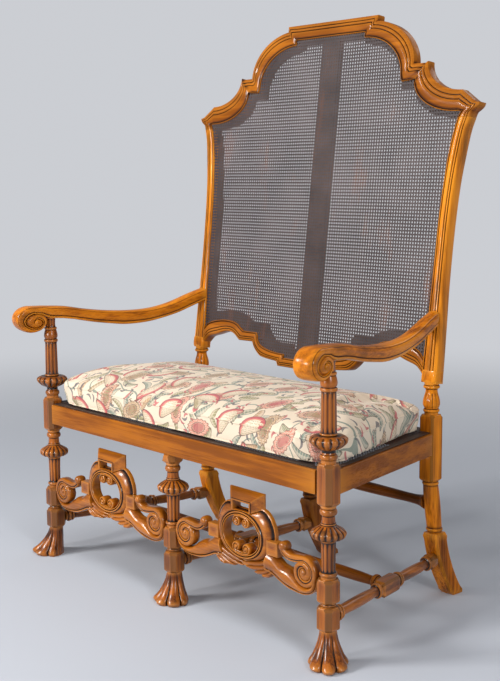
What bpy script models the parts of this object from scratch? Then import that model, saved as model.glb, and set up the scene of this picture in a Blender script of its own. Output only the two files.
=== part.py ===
"""A walnut chair-back settee with a cane back, a cane seat and a loose cushion.

Metres, +Z up, the front faces -Y. The front legs stand on the line y = 0 of the empty that carries
every piece, and that empty is set back so that the whole footprint is centred on the world's origin.
"""
import math

import bmesh
import bpy
import numpy as np
from mathutils import Matrix, Vector

# Fits between pieces
GAP = 0.0003
OVERRUN = 0.004
MERGE = 0.00002

# Plan of the frame
LEG_SPACING = 0.527
POST_SPACING = 0.431
SEAT_DEPTH = 0.459

# Seat frame
RAIL_TOP = 0.4275
RAIL_HEIGHT = 0.053
RAIL_THICKNESS = 0.024
FRONT_RAIL_SETBACK = 0.004
CENTRE_RAIL_WIDTH = 0.040
CENTRE_RAIL_HEIGHT = 0.036
CORNER_BLOCK_LEG = 0.060
CORNER_BLOCK_HEIGHT = 0.032
CORNER_BLOCK_DROP = 0.008
CANE_THICKNESS = 0.003
SEAT_CANE_INSET = 0.008
BACK_CANE_THICKNESS = 0.0025

# Front legs
LEG_BLOCK = 0.045
LEG_BLOCK_CHAMFER = 0.004
SEAT_BLOCK_TOP = 0.4446
SEAT_BLOCK_FOOT = 0.353
UPPER_KNEE_TOP = 0.192
UPPER_KNEE_FOOT = 0.138
LOWER_KNEE_TOP = 0.130
LOWER_KNEE_FOOT = 0.0755
WAIST_RADIUS = 0.0195
LEG_CAP_RADIUS = 0.039
ARM_CUP_RADIUS = 0.042
TENON_RADIUS = 0.009
TENON_LENGTH = 0.014
TURNING_STEPS = 16

# Paw feet
CORNER_TOE_REACH = 0.060
CORNER_TOE_SPREAD = 0.042
CORNER_HEEL_REACH = 0.013
MIDDLE_TOE_REACH = 0.045
MIDDLE_TOE_SPREAD = 0.048
MIDDLE_HEEL_REACH = 0.026
ANKLE_HALF_WIDTH = 0.0185
TOE_LOBE_DEPTH = 0.0035

# Back posts and the middle back leg
POST_BLOCK = 0.042
POST_BLOCK_TOP = 0.4705
POST_BLOCK_FOOT = 0.305
POST_VASE_RADIUS = 0.021
SHAFT_RADIUS = 0.0195
REAR_KNEE_TOP = 0.171
REAR_KICK_SLOPE = 0.147
REAR_FOOT_KICK = 0.093
SHAFT_STEPS = 16

# Raked back
STILE_FOOT = 0.5494
BACK_FACE_ADVANCE = 0.016
BACK_FACE_Y = SEAT_DEPTH - BACK_FACE_ADVANCE
BACK_RAKE = math.radians(7.0)
BACK_THICKNESS = 0.032
EAR_REACH = 0.074
BACK_HALF_WIDTH = POST_SPACING + EAR_REACH
BACK_HEIGHT = 0.9067
MUNTIN_WIDTH = 0.060
CANE_RECESS = 0.004
LINER_FRONT_RECESS = 0.020
LINER_REAR_RECESS = 0.003
CANE_GRID_COLUMNS = 5
CANE_GRID_BAR = 0.011
CANE_GRID_REACH = 0.381
ARC_STEPS = 8

# Arms
ARM_UNDERSIDE = 0.664
ARM_WIDTH_FRONT = 0.048
ARM_WIDTH_BACK = 0.036
ARM_EDGE = 0.009
ARM_HEIGHT = 0.040
ARM_REACH = 0.1095
SCROLL_HALF_HEIGHT = 0.036
SCROLL_BACK = 0.0155

# Height, flare and toe lobes of each ring of a foot, from the sole up
PAW_RING_SHARES = [(0.0, 0.93, 1.0), (0.16, 1.0, 1.0), (0.30, 0.82, 1.0), (0.46, 0.42, 0.8),
                   (0.68, 0.15, 0.5), (1.0, 0.0, 0.0)]

# Carved front stretchers
CARVED_TOP = 0.334
CARVED_BOTTOM = 0.139
CARVED_THICKNESS = 0.027
CARVED_FACE_Y = -0.016

# Turned stretchers
STRETCHER_HEIGHT = 0.104
STRETCHER_RADIUS = 0.013
STRETCHER_RING_RADIUS = 0.0175
STRETCHER_END_BLOCK = 0.034
STRETCHER_END_LENGTH = 0.030
STRETCHER_MID_BLOCK = 0.036
STRETCHER_MID_LENGTH = 0.075
REAR_STRETCHER_HEIGHT = 0.247
REAR_STRETCHER_RADIUS = 0.0125
STRETCHER_STEPS = 12

# Loose cushion
CUSHION_SIDE_INSET = 0.006
CUSHION_FRONT_Y = -0.003
CUSHION_BACK_CLEARANCE = 0.003
CUSHION_EDGE_HEIGHT = 0.053
CUSHION_CROWN = 0.056
CUSHION_DRAWN_IN = 0.005
CUSHION_FRONT_CORNER = 0.092
CUSHION_BACK_CORNER = 0.030
CUSHION_ACROSS = 13
CUSHION_ALONG = 9
CUSHION_UP = 3

# Turned profiles: share of the height from the top, share of the widest radius
UNDER_SEAT_SHARES = [
    (0.00, 0.44), (0.035, 0.45), (0.055, 0.49), (0.09, 0.50), (0.125, 0.46), (0.16, 0.38),
    (0.21, 0.37), (0.25, 0.42), (0.29, 0.62), (0.33, 0.88), (0.366, 1.00), (0.405, 0.98),
    (0.445, 0.84), (0.465, 0.60), (0.48, 0.43), (0.915, 0.40), (0.93, 0.47), (0.95, 0.48),
    (0.965, 0.42), (1.00, 0.41),
]
ARM_SUPPORT_SHARES = [
    (0.00, 0.325), (0.11, 0.325), (0.125, 0.37), (0.14, 0.37), (0.15, 0.38), (0.215, 0.445),
    (0.262, 0.38), (0.275, 0.44), (0.295, 0.44), (0.307, 0.39), (0.705, 0.42), (0.722, 0.62),
    (0.742, 0.88), (0.765, 1.00), (0.80, 0.97), (0.84, 0.72), (0.867, 0.42), (0.895, 0.345),
    (0.912, 0.39), (0.93, 0.45), (0.95, 0.45), (0.97, 0.39), (1.00, 0.39),
]
POST_VASE_SHARES = [
    (0.00, 0.92), (0.05, 0.95), (0.17, 0.95), (0.19, 0.70), (0.27, 0.70), (0.45, 0.88),
    (0.65, 1.00), (0.80, 0.92), (0.88, 0.74), (0.90, 0.90), (1.00, 0.90),
]
STRETCHER_HALF_SHARES = [
    (0.00, 0.80), (0.035, 0.82), (0.05, 1.00), (0.085, 1.00), (0.10, 0.70), (0.20, 0.74),
    (0.55, 0.80), (0.86, 0.72), (0.88, 1.00), (0.93, 1.00), (0.95, 0.80), (1.00, 0.80),
]
REAR_STRETCHER_SHARES = [
    (0.00, 1.45), (0.04, 1.30), (0.10, 1.06), (0.20, 1.00), (0.50, 1.08), (0.80, 1.00),
    (0.90, 1.06), (0.96, 1.30), (1.00, 1.45),
]

# Back outlines: share of the half width, share of the height
CAP_SHARES = [(0.0, 1.0), (0.321, 1.0), (0.321, 0.986)]
ARCH_CENTRE_SHARE = (0.267, 0.8536)
ARCH_RADII_SHARE = (0.317, 0.1323)
CREST_STEP_SHARE = (0.670, 0.8536)
COVE_CENTRE_SHARE = (0.891, 0.8575)
COVE_RADII_SHARE = (0.221, 0.0827)
EAR_SHARES = [(0.911, 0.7665), (0.944, 0.754), (0.976, 0.742), (1.0, 0.739), (0.988, 0.727), (0.962, 0.718)]
JOINT_OUTER_SHARE = 0.9515
JOINT_INNER_SHARE = 0.886
JOINT_HEIGHT_SHARE = 0.7025
SIGHT_CORNER_SHARE = (0.900, 0.718)
SIGHT_COVE_CENTRE_SHARE = (0.871, 0.8095)
SIGHT_COVE_RADII_SHARE = (0.273, 0.0915)
SIGHT_STEP_SHARE = (0.512, 0.8070)
SIGHT_ARCH_CENTRE_SHARE = (0.2376, 0.8217)
SIGHT_ARCH_RADII_SHARE = (0.2713, 0.118)
SIGHT_TOP_SHARE = (0.2475, 0.955)
STILE_INNER_SHARES = [
    (0.811, 0.0), (0.812, 0.05), (0.815, 0.11), (0.822, 0.25), (0.825, 0.34), (0.828, 0.45),
    (0.841, 0.562), (0.853, 0.621), (0.872, 0.676),
]
STILE_OUTER_SHARES = [
    (0.899, 0.0), (0.897, 0.06), (0.892, 0.16), (0.887, 0.25), (0.886, 0.34), (0.889, 0.438),
    (0.898, 0.53), (0.914, 0.603), (0.932, 0.667),
]
RAIL_UPPER_SHARES = [
    (0.811, 0.064), (0.773, 0.083), (0.712, 0.0933), (0.644, 0.0982), (0.582, 0.097), (0.537, 0.0912),
    (0.498, 0.0783), (0.476, 0.0717), (0.370, 0.0712), (0.362, 0.0636), (0.354, 0.0485), (0.333, 0.0361),
    (0.295, 0.0276), (0.234, 0.021), (0.173, 0.0182), (0.1436, 0.0182), (0.1436, 0.0064), (0.0, 0.0064),
]
RAIL_LOWER_SHARES = [
    (0.811, 0.018), (0.780, 0.035), (0.756, 0.042), (0.703, 0.050), (0.629, 0.062), (0.567, 0.0593),
    (0.514, 0.0403), (0.404, 0.0416), (0.386, 0.0254), (0.3545, 0.0085), (0.317, -0.0011), (0.202, -0.0077),
    (0.189, -0.0204), (0.0, -0.0212),
]
LINER_SHARES = [
    (0.0, 0.0375), (0.109, 0.0375), (0.109, 0.050), (0.234, 0.050), (0.267, 0.057), (0.297, 0.073),
    (0.313, 0.088), (0.327, 0.1015), (0.446, 0.1015), (0.485, 0.115), (0.545, 0.126), (0.644, 0.128),
    (0.733, 0.1235), (0.776, 0.116), (0.781, 0.143), (0.785, 0.276), (0.791, 0.386), (0.796, 0.474),
    (0.814, 0.5735), (0.825, 0.629), (0.842, 0.676), (0.862, 0.700), (0.703, 0.716), (0.606, 0.749),
    (0.574, 0.791), (0.489, 0.791), (0.487, 0.807), (0.477, 0.838), (0.431, 0.883), (0.348, 0.912),
    (0.219, 0.929), (0.215, 0.942), (0.0, 0.942),
]
LINER_FOOT_JOINT_SHARE = 0.135
LINER_HEAD_JOINT_SHARE = 0.655

# Arm outline seen from the side: share of the way from the leg to the stile, share of the arm's height
ARM_TOP_SHARES = [
    (1.0, 1.44), (0.91, 1.10), (0.78, 0.575), (0.657, 0.27), (0.52, 0.1875), (0.364, 0.28),
    (0.217, 0.50), (0.087, 0.775), (-0.030, 0.915),
]
ARM_LOW_SHARES = [
    (0.035, 0.0), (0.13, -0.1375), (0.26, -0.45), (0.38, -0.66), (0.46, -0.76), (0.564, -0.7375),
    (0.66, -0.60), (0.80, -0.2375), (0.91, 0.20), (1.0, 0.55),
]

# Carved stretcher: share of the half span from its middle, share of its height from the bottom
CARVED_CROWN_SHARES = [(0.0, 1.0), (0.220, 1.0), (0.220, 0.845)]
CARVED_RING_SHARES = [(0.270, 0.80), (0.315, 0.74), (0.350, 0.66), (0.372, 0.58), (0.379, 0.50)]
CARVED_KNOB_SHARES = [
    (0.420, 0.495), (0.455, 0.530), (0.500, 0.552), (0.545, 0.535), (0.568, 0.490), (0.572, 0.450),
    (0.625, 0.430), (0.700, 0.452),
]
CARVED_SCROLL_CENTRE_SHARE = (0.772, 0.245)
CARVED_SCROLL_RADII_SHARE = (0.141, 0.215)
CARVED_BELLY_SHARES = [
    (0.800, 0.020), (0.740, 0.0), (0.640, 0.0), (0.550, 0.030), (0.470, 0.080), (0.405, 0.118),
    (0.350, 0.080), (0.290, 0.042), (0.230, 0.062), (0.170, 0.090), (0.110, 0.060), (0.050, 0.095),
    (0.0, 0.085),
]
CARVED_HOLE_CENTRE_SHARE = 0.475
CARVED_HOLE_RADII_SHARE = (0.229, 0.233)
CARVED_WINDOW_SHARES = [(0.103, 0.745), (0.103, 0.870)]
CARVED_SLOT_SHARES = [
    (0.455, 0.300), (0.510, 0.262), (0.580, 0.262), (0.640, 0.285), (0.640, 0.335), (0.585, 0.370),
    (0.520, 0.385), (0.465, 0.360),
]

WALNUT = (0.42, 0.145, 0.022, 1.0)
DARK_WALNUT = (0.16, 0.055, 0.014, 1.0)
CANE_BROWN = (0.085, 0.055, 0.045, 1.0)
CUSHION_CREAM = (0.72, 0.64, 0.47, 1.0)


def clear_scene():
    for item in list(bpy.data.objects):
        bpy.data.objects.remove(item, do_unlink=True)


def new_collection(name):
    collection = bpy.data.collections.new(name)
    bpy.context.scene.collection.children.link(collection)
    return collection


clear_scene()
SETTEE = new_collection("chair_back_settee")
GUIDES = new_collection("guides")
DEPTH_CENTRE = (BACK_FACE_Y + BACK_HEIGHT * math.sin(BACK_RAKE) + BACK_THICKNESS * math.cos(BACK_RAKE)
                - ARM_REACH) / 2
ROOT = bpy.data.objects.new("settee_frame", None)
ROOT.location = (0, -DEPTH_CENTRE, 0)
SETTEE.objects.link(ROOT)


def finish(name, colour, roughness, metallic=0.0):
    """A plain material of one colour."""
    material = bpy.data.materials.new(name)
    material.use_nodes = True
    shader = material.node_tree.nodes["Principled BSDF"]
    shader.inputs["Base Color"].default_value = colour
    shader.inputs["Roughness"].default_value = roughness
    shader.inputs["Metallic"].default_value = metallic
    return material


POLISHED = finish("polished_walnut", WALNUT, 0.28)
UNPOLISHED = finish("unpolished_walnut", DARK_WALNUT, 0.6)
CANE = finish("dark_cane", CANE_BROWN, 0.55)
FABRIC = finish("floral_cloth", CUSHION_CREAM, 0.9)


def add(name, mesh, material, location=(0, 0, 0)):
    """A mesh as an object of the settee, carried by the frame's empty."""
    piece = bpy.data.objects.new(name, mesh)
    SETTEE.objects.link(piece)
    piece.parent = ROOT
    piece.location = location
    piece.data.materials.clear()
    piece.data.materials.append(material)
    return piece


def as_guide(piece):
    """Put a piece that another one is joined with or cut by among the guides."""
    SETTEE.objects.unlink(piece)
    GUIDES.objects.link(piece)
    piece.hide_render = True
    piece.display_type = "WIRE"


def combine(base, others, operation):
    """Join the others to the base, or cut them from it."""
    for other in others:
        step = base.modifiers.new(other.name, "BOOLEAN")
        step.operation = operation
        step.solver = "EXACT"
        step.object = other
        as_guide(other)
    return base


def baked(piece):
    """The piece with its modifiers or its curve turned into one welded mesh."""
    bpy.context.view_layer.update()
    shape = piece.evaluated_get(bpy.context.evaluated_depsgraph_get())
    mesh = bpy.data.meshes.new_from_object(shape)
    work = bmesh.new()
    work.from_mesh(mesh)
    bmesh.ops.remove_doubles(work, verts=work.verts, dist=MERGE)
    work.to_mesh(mesh)
    work.free()
    name, material, location = piece.name, piece.data.materials[0], piece.location.copy()
    bpy.data.objects.remove(piece, do_unlink=True)
    return add(name, mesh, material, location)


def shade(piece):
    piece.data.shade_smooth()
    piece.data.set_sharp_from_angle(angle=math.radians(35))
    return piece


def spindle(name, profile, material, steps, location=(0, 0, 0)):
    """A turned piece on the Z axis: (height, radius) points from top to bottom, closed at both ends."""
    points = [(0, 0, profile[0][0])] + [(r, 0, z) for z, r in profile] + [(0, 0, profile[-1][0])]
    edges = [(i, i + 1) for i in range(len(points) - 1)]
    mesh = bpy.data.meshes.new(name)
    mesh.from_pydata(points, edges, [])
    piece = add(name, mesh, material, location)
    turn = piece.modifiers.new("turning", "SCREW")
    turn.steps = turn.render_steps = steps
    turn.use_merge_vertices = True
    turn.merge_threshold = MERGE
    turn.use_smooth_shade = True
    return piece


def shares_profile(shares, top, foot, radius):
    return [(top + (foot - top) * t, radius * r) for t, r in shares]


def block(name, low, high, material, chamfer, location=(0, 0, 0)):
    """A rectangular block between two corners, its edges chamfered."""
    work = bmesh.new()
    bmesh.ops.create_cube(work, size=1)
    size = Vector(high) - Vector(low)
    middle = (Vector(high) + Vector(low)) / 2
    bmesh.ops.scale(work, vec=size, verts=work.verts)
    bmesh.ops.translate(work, vec=middle, verts=work.verts)
    mesh = bpy.data.meshes.new(name)
    work.to_mesh(mesh)
    work.free()
    piece = add(name, mesh, material, location)
    if chamfer:
        edge = piece.modifiers.new("chamfer", "BEVEL")
        edge.width = chamfer
        edge.segments = 1
    return piece


def flat_piece(name, loops, near, far, material, edge=0.0):
    """A flat outline with its holes, between two levels of its own Z, as a mesh."""
    curve = bpy.data.curves.new(name, "CURVE")
    curve.dimensions = "2D"
    curve.fill_mode = "BOTH"
    curve.extrude = (far - near) / 2 - edge
    curve.bevel_depth = edge
    curve.offset = -edge
    curve.bevel_resolution = 2
    for loop in loops:
        spline = curve.splines.new("POLY")
        spline.points.add(len(loop) - 1)
        for point, (x, y) in zip(spline.points, loop):
            point.co = (x, y, 0, 1)
        spline.use_cyclic_u = True
    curve.materials.append(material)
    piece = bpy.data.objects.new(name, curve)
    SETTEE.objects.link(piece)
    piece.parent = ROOT
    piece = baked(piece)
    piece.data.transform(Matrix.Translation((0, 0, (near + far) / 2)))
    return piece


def arc(centre, radii, start, end, steps=ARC_STEPS):
    """Points on an ellipse between two angles in degrees, both ends included."""
    angles = np.radians(np.linspace(start, end, steps + 1))
    return [(centre[0] + radii[0] * math.cos(t), centre[1] + radii[1] * math.sin(t)) for t in angles]


def smooth_line(points, steps):
    """A smooth line through the points, with some steps between each pair."""
    padded = [points[0]] + list(points) + [points[-1]]
    line = []
    for before, start, end, after in zip(padded, padded[1:], padded[2:], padded[3:]):
        a, b, c, d = (np.array(p) for p in (before, start, end, after))
        for t in np.arange(steps) / steps:
            line.append(tuple(((2 * b) + (c - a) * t + (2 * a - 5 * b + 4 * c - d) * t ** 2
                               + (3 * b - a - 3 * c + d) * t ** 3) / 2))
    line.append(tuple(points[-1]))
    return line


def scaled(shares, width, height):
    return [(x * width, y * height) for x, y in shares]


def mirrored_loop(half):
    """A closed outline from its right half, which starts and ends on the middle line."""
    left = [(-x, y) for x, y in reversed(half) if x > MERGE]
    return list(half) + left


def inset(loop, distance):
    """A closed outline moved inwards by a distance, each corner along its mitre."""
    points = np.array(loop)
    if area(points) < 0:
        points = points[::-1]
    before = points - np.roll(points, 1, axis=0)
    after = np.roll(points, -1, axis=0) - points
    before /= np.linalg.norm(before, axis=1)[:, None]
    after /= np.linalg.norm(after, axis=1)[:, None]
    normal = np.stack([-(before + after)[:, 1], (before + after)[:, 0]], axis=1)
    normal /= np.linalg.norm(normal, axis=1)[:, None]
    side = np.stack([-after[:, 1], after[:, 0]], axis=1)
    reach = distance / np.maximum((normal * side).sum(axis=1), 0.5)
    return [tuple(p) for p in points + normal * reach[:, None]]


def area(points):
    x, y = points[:, 0], points[:, 1]
    return (x * np.roll(y, -1) - np.roll(x, -1) * y).sum() / 2


def rear_kick(z):
    """How far back the axis of a back leg stands at a height: straight rake, then a swept foot."""
    drop = max(POST_BLOCK_FOOT - z, 0)
    below = max(REAR_KNEE_TOP - z, 0)
    swept = REAR_FOOT_KICK - REAR_KICK_SLOPE * POST_BLOCK_FOOT
    return REAR_KICK_SLOPE * drop + swept * (below / REAR_KNEE_TOP) ** 2


def bend_back(piece):
    """Move a leg's lower part back along the rear kick."""
    for vertex in piece.data.vertices:
        vertex.co.y += rear_kick(vertex.co.z)
    return piece


def slice_up(piece, levels):
    """Cut level loops round a piece so that it can bend."""
    work = bmesh.new()
    work.from_mesh(piece.data)
    for level in levels:
        everything = work.verts[:] + work.edges[:] + work.faces[:]
        bmesh.ops.bisect_plane(work, geom=everything, plane_co=(0, 0, level), plane_no=(0, 0, 1))
    work.to_mesh(piece.data)
    work.free()
    return piece


def paw_foot(name, heading, sizes, location):
    """A carved paw: a loft from the ankle to a fan of toes; sizes are its reach, spread and heel."""
    reach, spread, heel = sizes
    around = 30
    angles = np.arange(around) * (2 * math.pi / around)
    top = LOWER_KNEE_FOOT + OVERRUN
    forward = np.cos(angles)
    lateral = np.sin(angles)
    lobe = np.maximum(np.cos(angles * 6), 0) ** 2 * (forward > -0.4)
    sole_x = np.where(forward > 0, forward * reach, forward * heel)
    sole_y = lateral * spread * np.where(forward > 0, 1.0, 0.75)
    ankle_x = forward * ANKLE_HALF_WIDTH
    ankle_y = lateral * ANKLE_HALF_WIDTH
    rings = []
    for height, flare, lobes in PAW_RING_SHARES:
        x = ankle_x + (sole_x - ankle_x) * flare + lobe * forward * TOE_LOBE_DEPTH * lobes
        y = ankle_y + (sole_y - ankle_y) * flare + lobe * lateral * TOE_LOBE_DEPTH * lobes
        rings.append(np.stack([x, y, np.full(around, height * top)], axis=1))
    points = np.concatenate(rings)
    count = len(rings)
    faces = [[r * around + i, r * around + (i + 1) % around, (r + 1) * around + (i + 1) % around,
              (r + 1) * around + i] for r in range(count - 1) for i in range(around)]
    faces.append(list(reversed(range(around))))
    faces.append([(count - 1) * around + i for i in range(around)])
    mesh = bpy.data.meshes.new(name)
    mesh.from_pydata([tuple(p) for p in points], [], faces)
    mesh.transform(Matrix.Rotation(math.radians(heading), 4, "Z"))
    return add(name, mesh, POLISHED, location)


def leg_block(name, top, foot, location, size=LEG_BLOCK):
    half = size / 2
    return block(name, (-half, -half, foot), (half, half, top), POLISHED, LEG_BLOCK_CHAMFER, location)


def front_leg(name, x, heading, foot, carries_arm):
    """A front leg from its paw foot to the arm, or to the rail in the middle."""
    place = (x, 0, 0)
    rail_foot = RAIL_TOP - RAIL_HEIGHT - GAP
    block_top = SEAT_BLOCK_TOP if carries_arm else rail_foot
    profile = []
    if carries_arm:
        tenon_top = ARM_UNDERSIDE + TENON_LENGTH
        profile += [(tenon_top, TENON_RADIUS), (ARM_UNDERSIDE - GAP, TENON_RADIUS)]
        profile += shares_profile(ARM_SUPPORT_SHARES, ARM_UNDERSIDE - GAP, SEAT_BLOCK_TOP, ARM_CUP_RADIUS)
    else:
        profile += [(block_top - OVERRUN, WAIST_RADIUS)]
    profile += shares_profile(UNDER_SEAT_SHARES, SEAT_BLOCK_FOOT, UPPER_KNEE_TOP, LEG_CAP_RADIUS)
    profile += [(UPPER_KNEE_TOP - OVERRUN, WAIST_RADIUS), (LOWER_KNEE_FOOT - OVERRUN, WAIST_RADIUS)]
    leg = spindle(name, profile, POLISHED, TURNING_STEPS, place)
    parts = [
        leg_block(name + "_seat_block", block_top, SEAT_BLOCK_FOOT, place),
        leg_block(name + "_upper_knee", UPPER_KNEE_TOP, UPPER_KNEE_FOOT, place),
        leg_block(name + "_lower_knee", LOWER_KNEE_TOP, LOWER_KNEE_FOOT, place),
        paw_foot(name + "_paw", heading, foot, place),
    ]
    return combine(leg, parts, "UNION")


def front_legs():
    corner = (CORNER_TOE_REACH, CORNER_TOE_SPREAD, CORNER_HEEL_REACH)
    middle = (MIDDLE_TOE_REACH, MIDDLE_TOE_SPREAD, MIDDLE_HEEL_REACH)
    front_leg("front_leg_left", -LEG_SPACING, -135, corner, True)
    front_leg("front_leg_middle", 0, -90, middle, False)
    front_leg("front_leg_right", LEG_SPACING, -45, corner, True)


def back_frame_matrix():
    """From outline coordinates (across, up the rake, towards the front) to the frame."""
    sine, cosine = math.sin(BACK_RAKE), math.cos(BACK_RAKE)
    return Matrix(((1, 0, 0, 0), (0, sine, -cosine, BACK_FACE_Y), (0, cosine, sine, STILE_FOOT), (0, 0, 0, 1)))


def back_piece(name, loops, front, back, material):
    """A flat piece of the raked back; front and back are depths behind the front face."""
    piece = flat_piece(name, loops, -back, -front, material)
    piece.data.transform(back_frame_matrix())
    return piece


def stile_inner():
    return smooth_line(scaled(STILE_INNER_SHARES, BACK_HALF_WIDTH, BACK_HEIGHT), 2)


def stile_outline():
    joint = JOINT_HEIGHT_SHARE * BACK_HEIGHT - GAP
    inner = stile_inner()
    outer = smooth_line(scaled(STILE_OUTER_SHARES, BACK_HALF_WIDTH, BACK_HEIGHT), 2)
    top = [(JOINT_INNER_SHARE * BACK_HALF_WIDTH, joint), (JOINT_OUTER_SHARE * BACK_HALF_WIDTH, joint)]
    return inner + top + list(reversed(outer))


def rear_leg_blocks(name, place, top):
    """The seat block, the round shaft and the swept foot of a back leg."""
    half = POST_BLOCK / 2
    seat = block(name + "_seat_block", (-half, -half, POST_BLOCK_FOOT), (half, half, top), POLISHED,
                 LEG_BLOCK_CHAMFER, place)
    levels = np.linspace(0, REAR_KNEE_TOP, 7)
    shaft_profile = [(POST_BLOCK_FOOT + OVERRUN, SHAFT_RADIUS), (POST_BLOCK_FOOT, SHAFT_RADIUS),
                     (REAR_KNEE_TOP, SHAFT_RADIUS), (REAR_KNEE_TOP - OVERRUN, SHAFT_RADIUS)]
    shaft = bend_back(baked(spindle(name + "_shaft", shaft_profile, POLISHED, SHAFT_STEPS, place)))
    foot_half = LEG_BLOCK / 2
    foot = block(name + "_foot", (-foot_half, -foot_half, 0), (foot_half, foot_half, REAR_KNEE_TOP),
                 POLISHED, LEG_BLOCK_CHAMFER, place)
    foot = bend_back(slice_up(baked(foot), levels[1:-1]))
    return seat, shaft, foot


def rear_post(name, side):
    """A back post: raked stile, turned vase, seat block, shaft and swept foot."""
    place = (side * POST_SPACING, SEAT_DEPTH, 0)
    profile = [(STILE_FOOT + OVERRUN, POST_VASE_RADIUS * POST_VASE_SHARES[0][1])]
    profile += shares_profile(POST_VASE_SHARES, STILE_FOOT, POST_BLOCK_TOP, POST_VASE_RADIUS)
    profile += [(POST_BLOCK_TOP - OVERRUN, POST_VASE_RADIUS * POST_VASE_SHARES[-1][1])]
    post = spindle(name, profile, POLISHED, TURNING_STEPS, place)
    outline = [(side * x, y) for x, y in stile_outline()]
    stile = back_piece(name + "_stile", [outline], 0, BACK_THICKNESS, POLISHED)
    return combine(post, [stile, *rear_leg_blocks(name, place, POST_BLOCK_TOP)], "UNION")


def rear_leg_middle():
    place = (0, SEAT_DEPTH, 0)
    top = RAIL_TOP - RAIL_HEIGHT - GAP
    seat, shaft, foot = rear_leg_blocks("rear_leg_middle", place, top)
    seat.name = "rear_leg_middle"
    shaft.name = "rear_leg_middle_shaft"
    return combine(seat, [shaft, foot], "UNION")


def plan_piece(name, outline, low, high, material):
    """A flat piece that lies level, from its outline seen from above."""
    return flat_piece(name, [outline], low, high, material)


def side_line(y):
    """Distance from the middle to the line through a corner leg and its back post."""
    return LEG_SPACING + (POST_SPACING - LEG_SPACING) * y / SEAT_DEPTH


def seat_rails():
    low, high = RAIL_TOP - RAIL_HEIGHT, RAIL_TOP
    front = -LEG_BLOCK / 2 + FRONT_RAIL_SETBACK
    reach = LEG_SPACING - LEG_BLOCK / 2 - GAP
    block("front_seat_rail", (-reach, front, low), (reach, front + RAIL_THICKNESS, high), POLISHED, 0)
    back = SEAT_DEPTH + POST_BLOCK / 2 - FRONT_RAIL_SETBACK
    reach = POST_SPACING - POST_BLOCK / 2 - GAP
    block("rear_seat_rail", (-reach, back - RAIL_THICKNESS, low), (reach, back, high), POLISHED, 0)
    start = LEG_BLOCK / 2 + GAP
    end = SEAT_DEPTH - POST_BLOCK / 2 - GAP
    outer_offset = POST_BLOCK / 2 - FRONT_RAIL_SETBACK
    for word, side in (("left", -1), ("right", 1)):
        outline = [(side * (side_line(y) + offset), y) for y, offset in (
            (start, outer_offset), (end, outer_offset),
            (end, outer_offset - RAIL_THICKNESS), (start, outer_offset - RAIL_THICKNESS))]
        plan_piece("side_seat_rail_" + word, outline, low, high, POLISHED)
    half = CENTRE_RAIL_WIDTH / 2
    block("centre_seat_rail", (-half, front + RAIL_THICKNESS + GAP, high - CENTRE_RAIL_HEIGHT),
          (half, back - RAIL_THICKNESS - GAP, high), UNPOLISHED, 0)


def corner_blocks():
    """Glued triangular blocks in the four corners of the seat frame."""
    low = RAIL_TOP - CORNER_BLOCK_DROP - CORNER_BLOCK_HEIGHT
    high = RAIL_TOP - CORNER_BLOCK_DROP
    inner = POST_BLOCK / 2 - FRONT_RAIL_SETBACK - RAIL_THICKNESS - GAP
    near = -LEG_BLOCK / 2 + FRONT_RAIL_SETBACK + RAIL_THICKNESS + GAP
    far = SEAT_DEPTH + POST_BLOCK / 2 - FRONT_RAIL_SETBACK - RAIL_THICKNESS - GAP
    for word, y, reach, post_half, corner_x in (
            ("front", near, CORNER_BLOCK_LEG, LEG_BLOCK / 2, LEG_SPACING),
            ("rear", far, -CORNER_BLOCK_LEG, POST_BLOCK / 2, POST_SPACING)):
        leg_y = 0 if word == "front" else SEAT_DEPTH
        toward = math.copysign(post_half + GAP, reach)
        for name, side in (("left", -1), ("right", 1)):
            leg_x = corner_x - post_half - GAP
            outline = [
                (side * (side_line(y) + inner - abs(reach)), y),
                (side * leg_x, y),
                (side * leg_x, leg_y + toward),
                (side * (side_line(leg_y + toward) + inner), leg_y + toward),
                (side * (side_line(y + reach) + inner), y + reach),
            ]
            plan_piece("corner_block_%s_%s" % (word, name), outline, low, high, UNPOLISHED)


def seat_cane():
    """The woven seat panel on the rails, notched round the four corner blocks."""
    edge = POST_BLOCK / 2 - FRONT_RAIL_SETBACK - SEAT_CANE_INSET
    front = -LEG_BLOCK / 2 + FRONT_RAIL_SETBACK + SEAT_CANE_INSET
    back = SEAT_DEPTH + POST_BLOCK / 2 - FRONT_RAIL_SETBACK - SEAT_CANE_INSET
    leg_x, leg_y = LEG_SPACING - LEG_BLOCK / 2 - GAP, LEG_BLOCK / 2 + GAP
    post_x, post_y = POST_SPACING - POST_BLOCK / 2 - GAP, SEAT_DEPTH - POST_BLOCK / 2 - GAP
    half = [(0, front), (leg_x, front), (leg_x, leg_y), (side_line(leg_y) + edge, leg_y),
            (side_line(post_y) + edge, post_y), (post_x, post_y), (post_x, back), (0, back)]
    low = RAIL_TOP + GAP
    plan_piece("seat_cane", mirrored_loop(half), low, low + CANE_THICKNESS, CANE)


def crest_half():
    """Right half of the crest's outer edge, from the middle to the joint with the stile."""
    wide, tall = BACK_HALF_WIDTH, BACK_HEIGHT
    start = math.degrees(math.acos((CAP_SHARES[-1][0] - ARCH_CENTRE_SHARE[0]) / ARCH_RADII_SHARE[0]))
    half = CAP_SHARES + arc(ARCH_CENTRE_SHARE, ARCH_RADII_SHARE, start, 0)
    half += [CREST_STEP_SHARE] + arc(COVE_CENTRE_SHARE, COVE_RADII_SHARE, 180, 270) + EAR_SHARES
    half += [(JOINT_OUTER_SHARE, JOINT_HEIGHT_SHARE)]
    return scaled(half, wide, tall)


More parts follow.
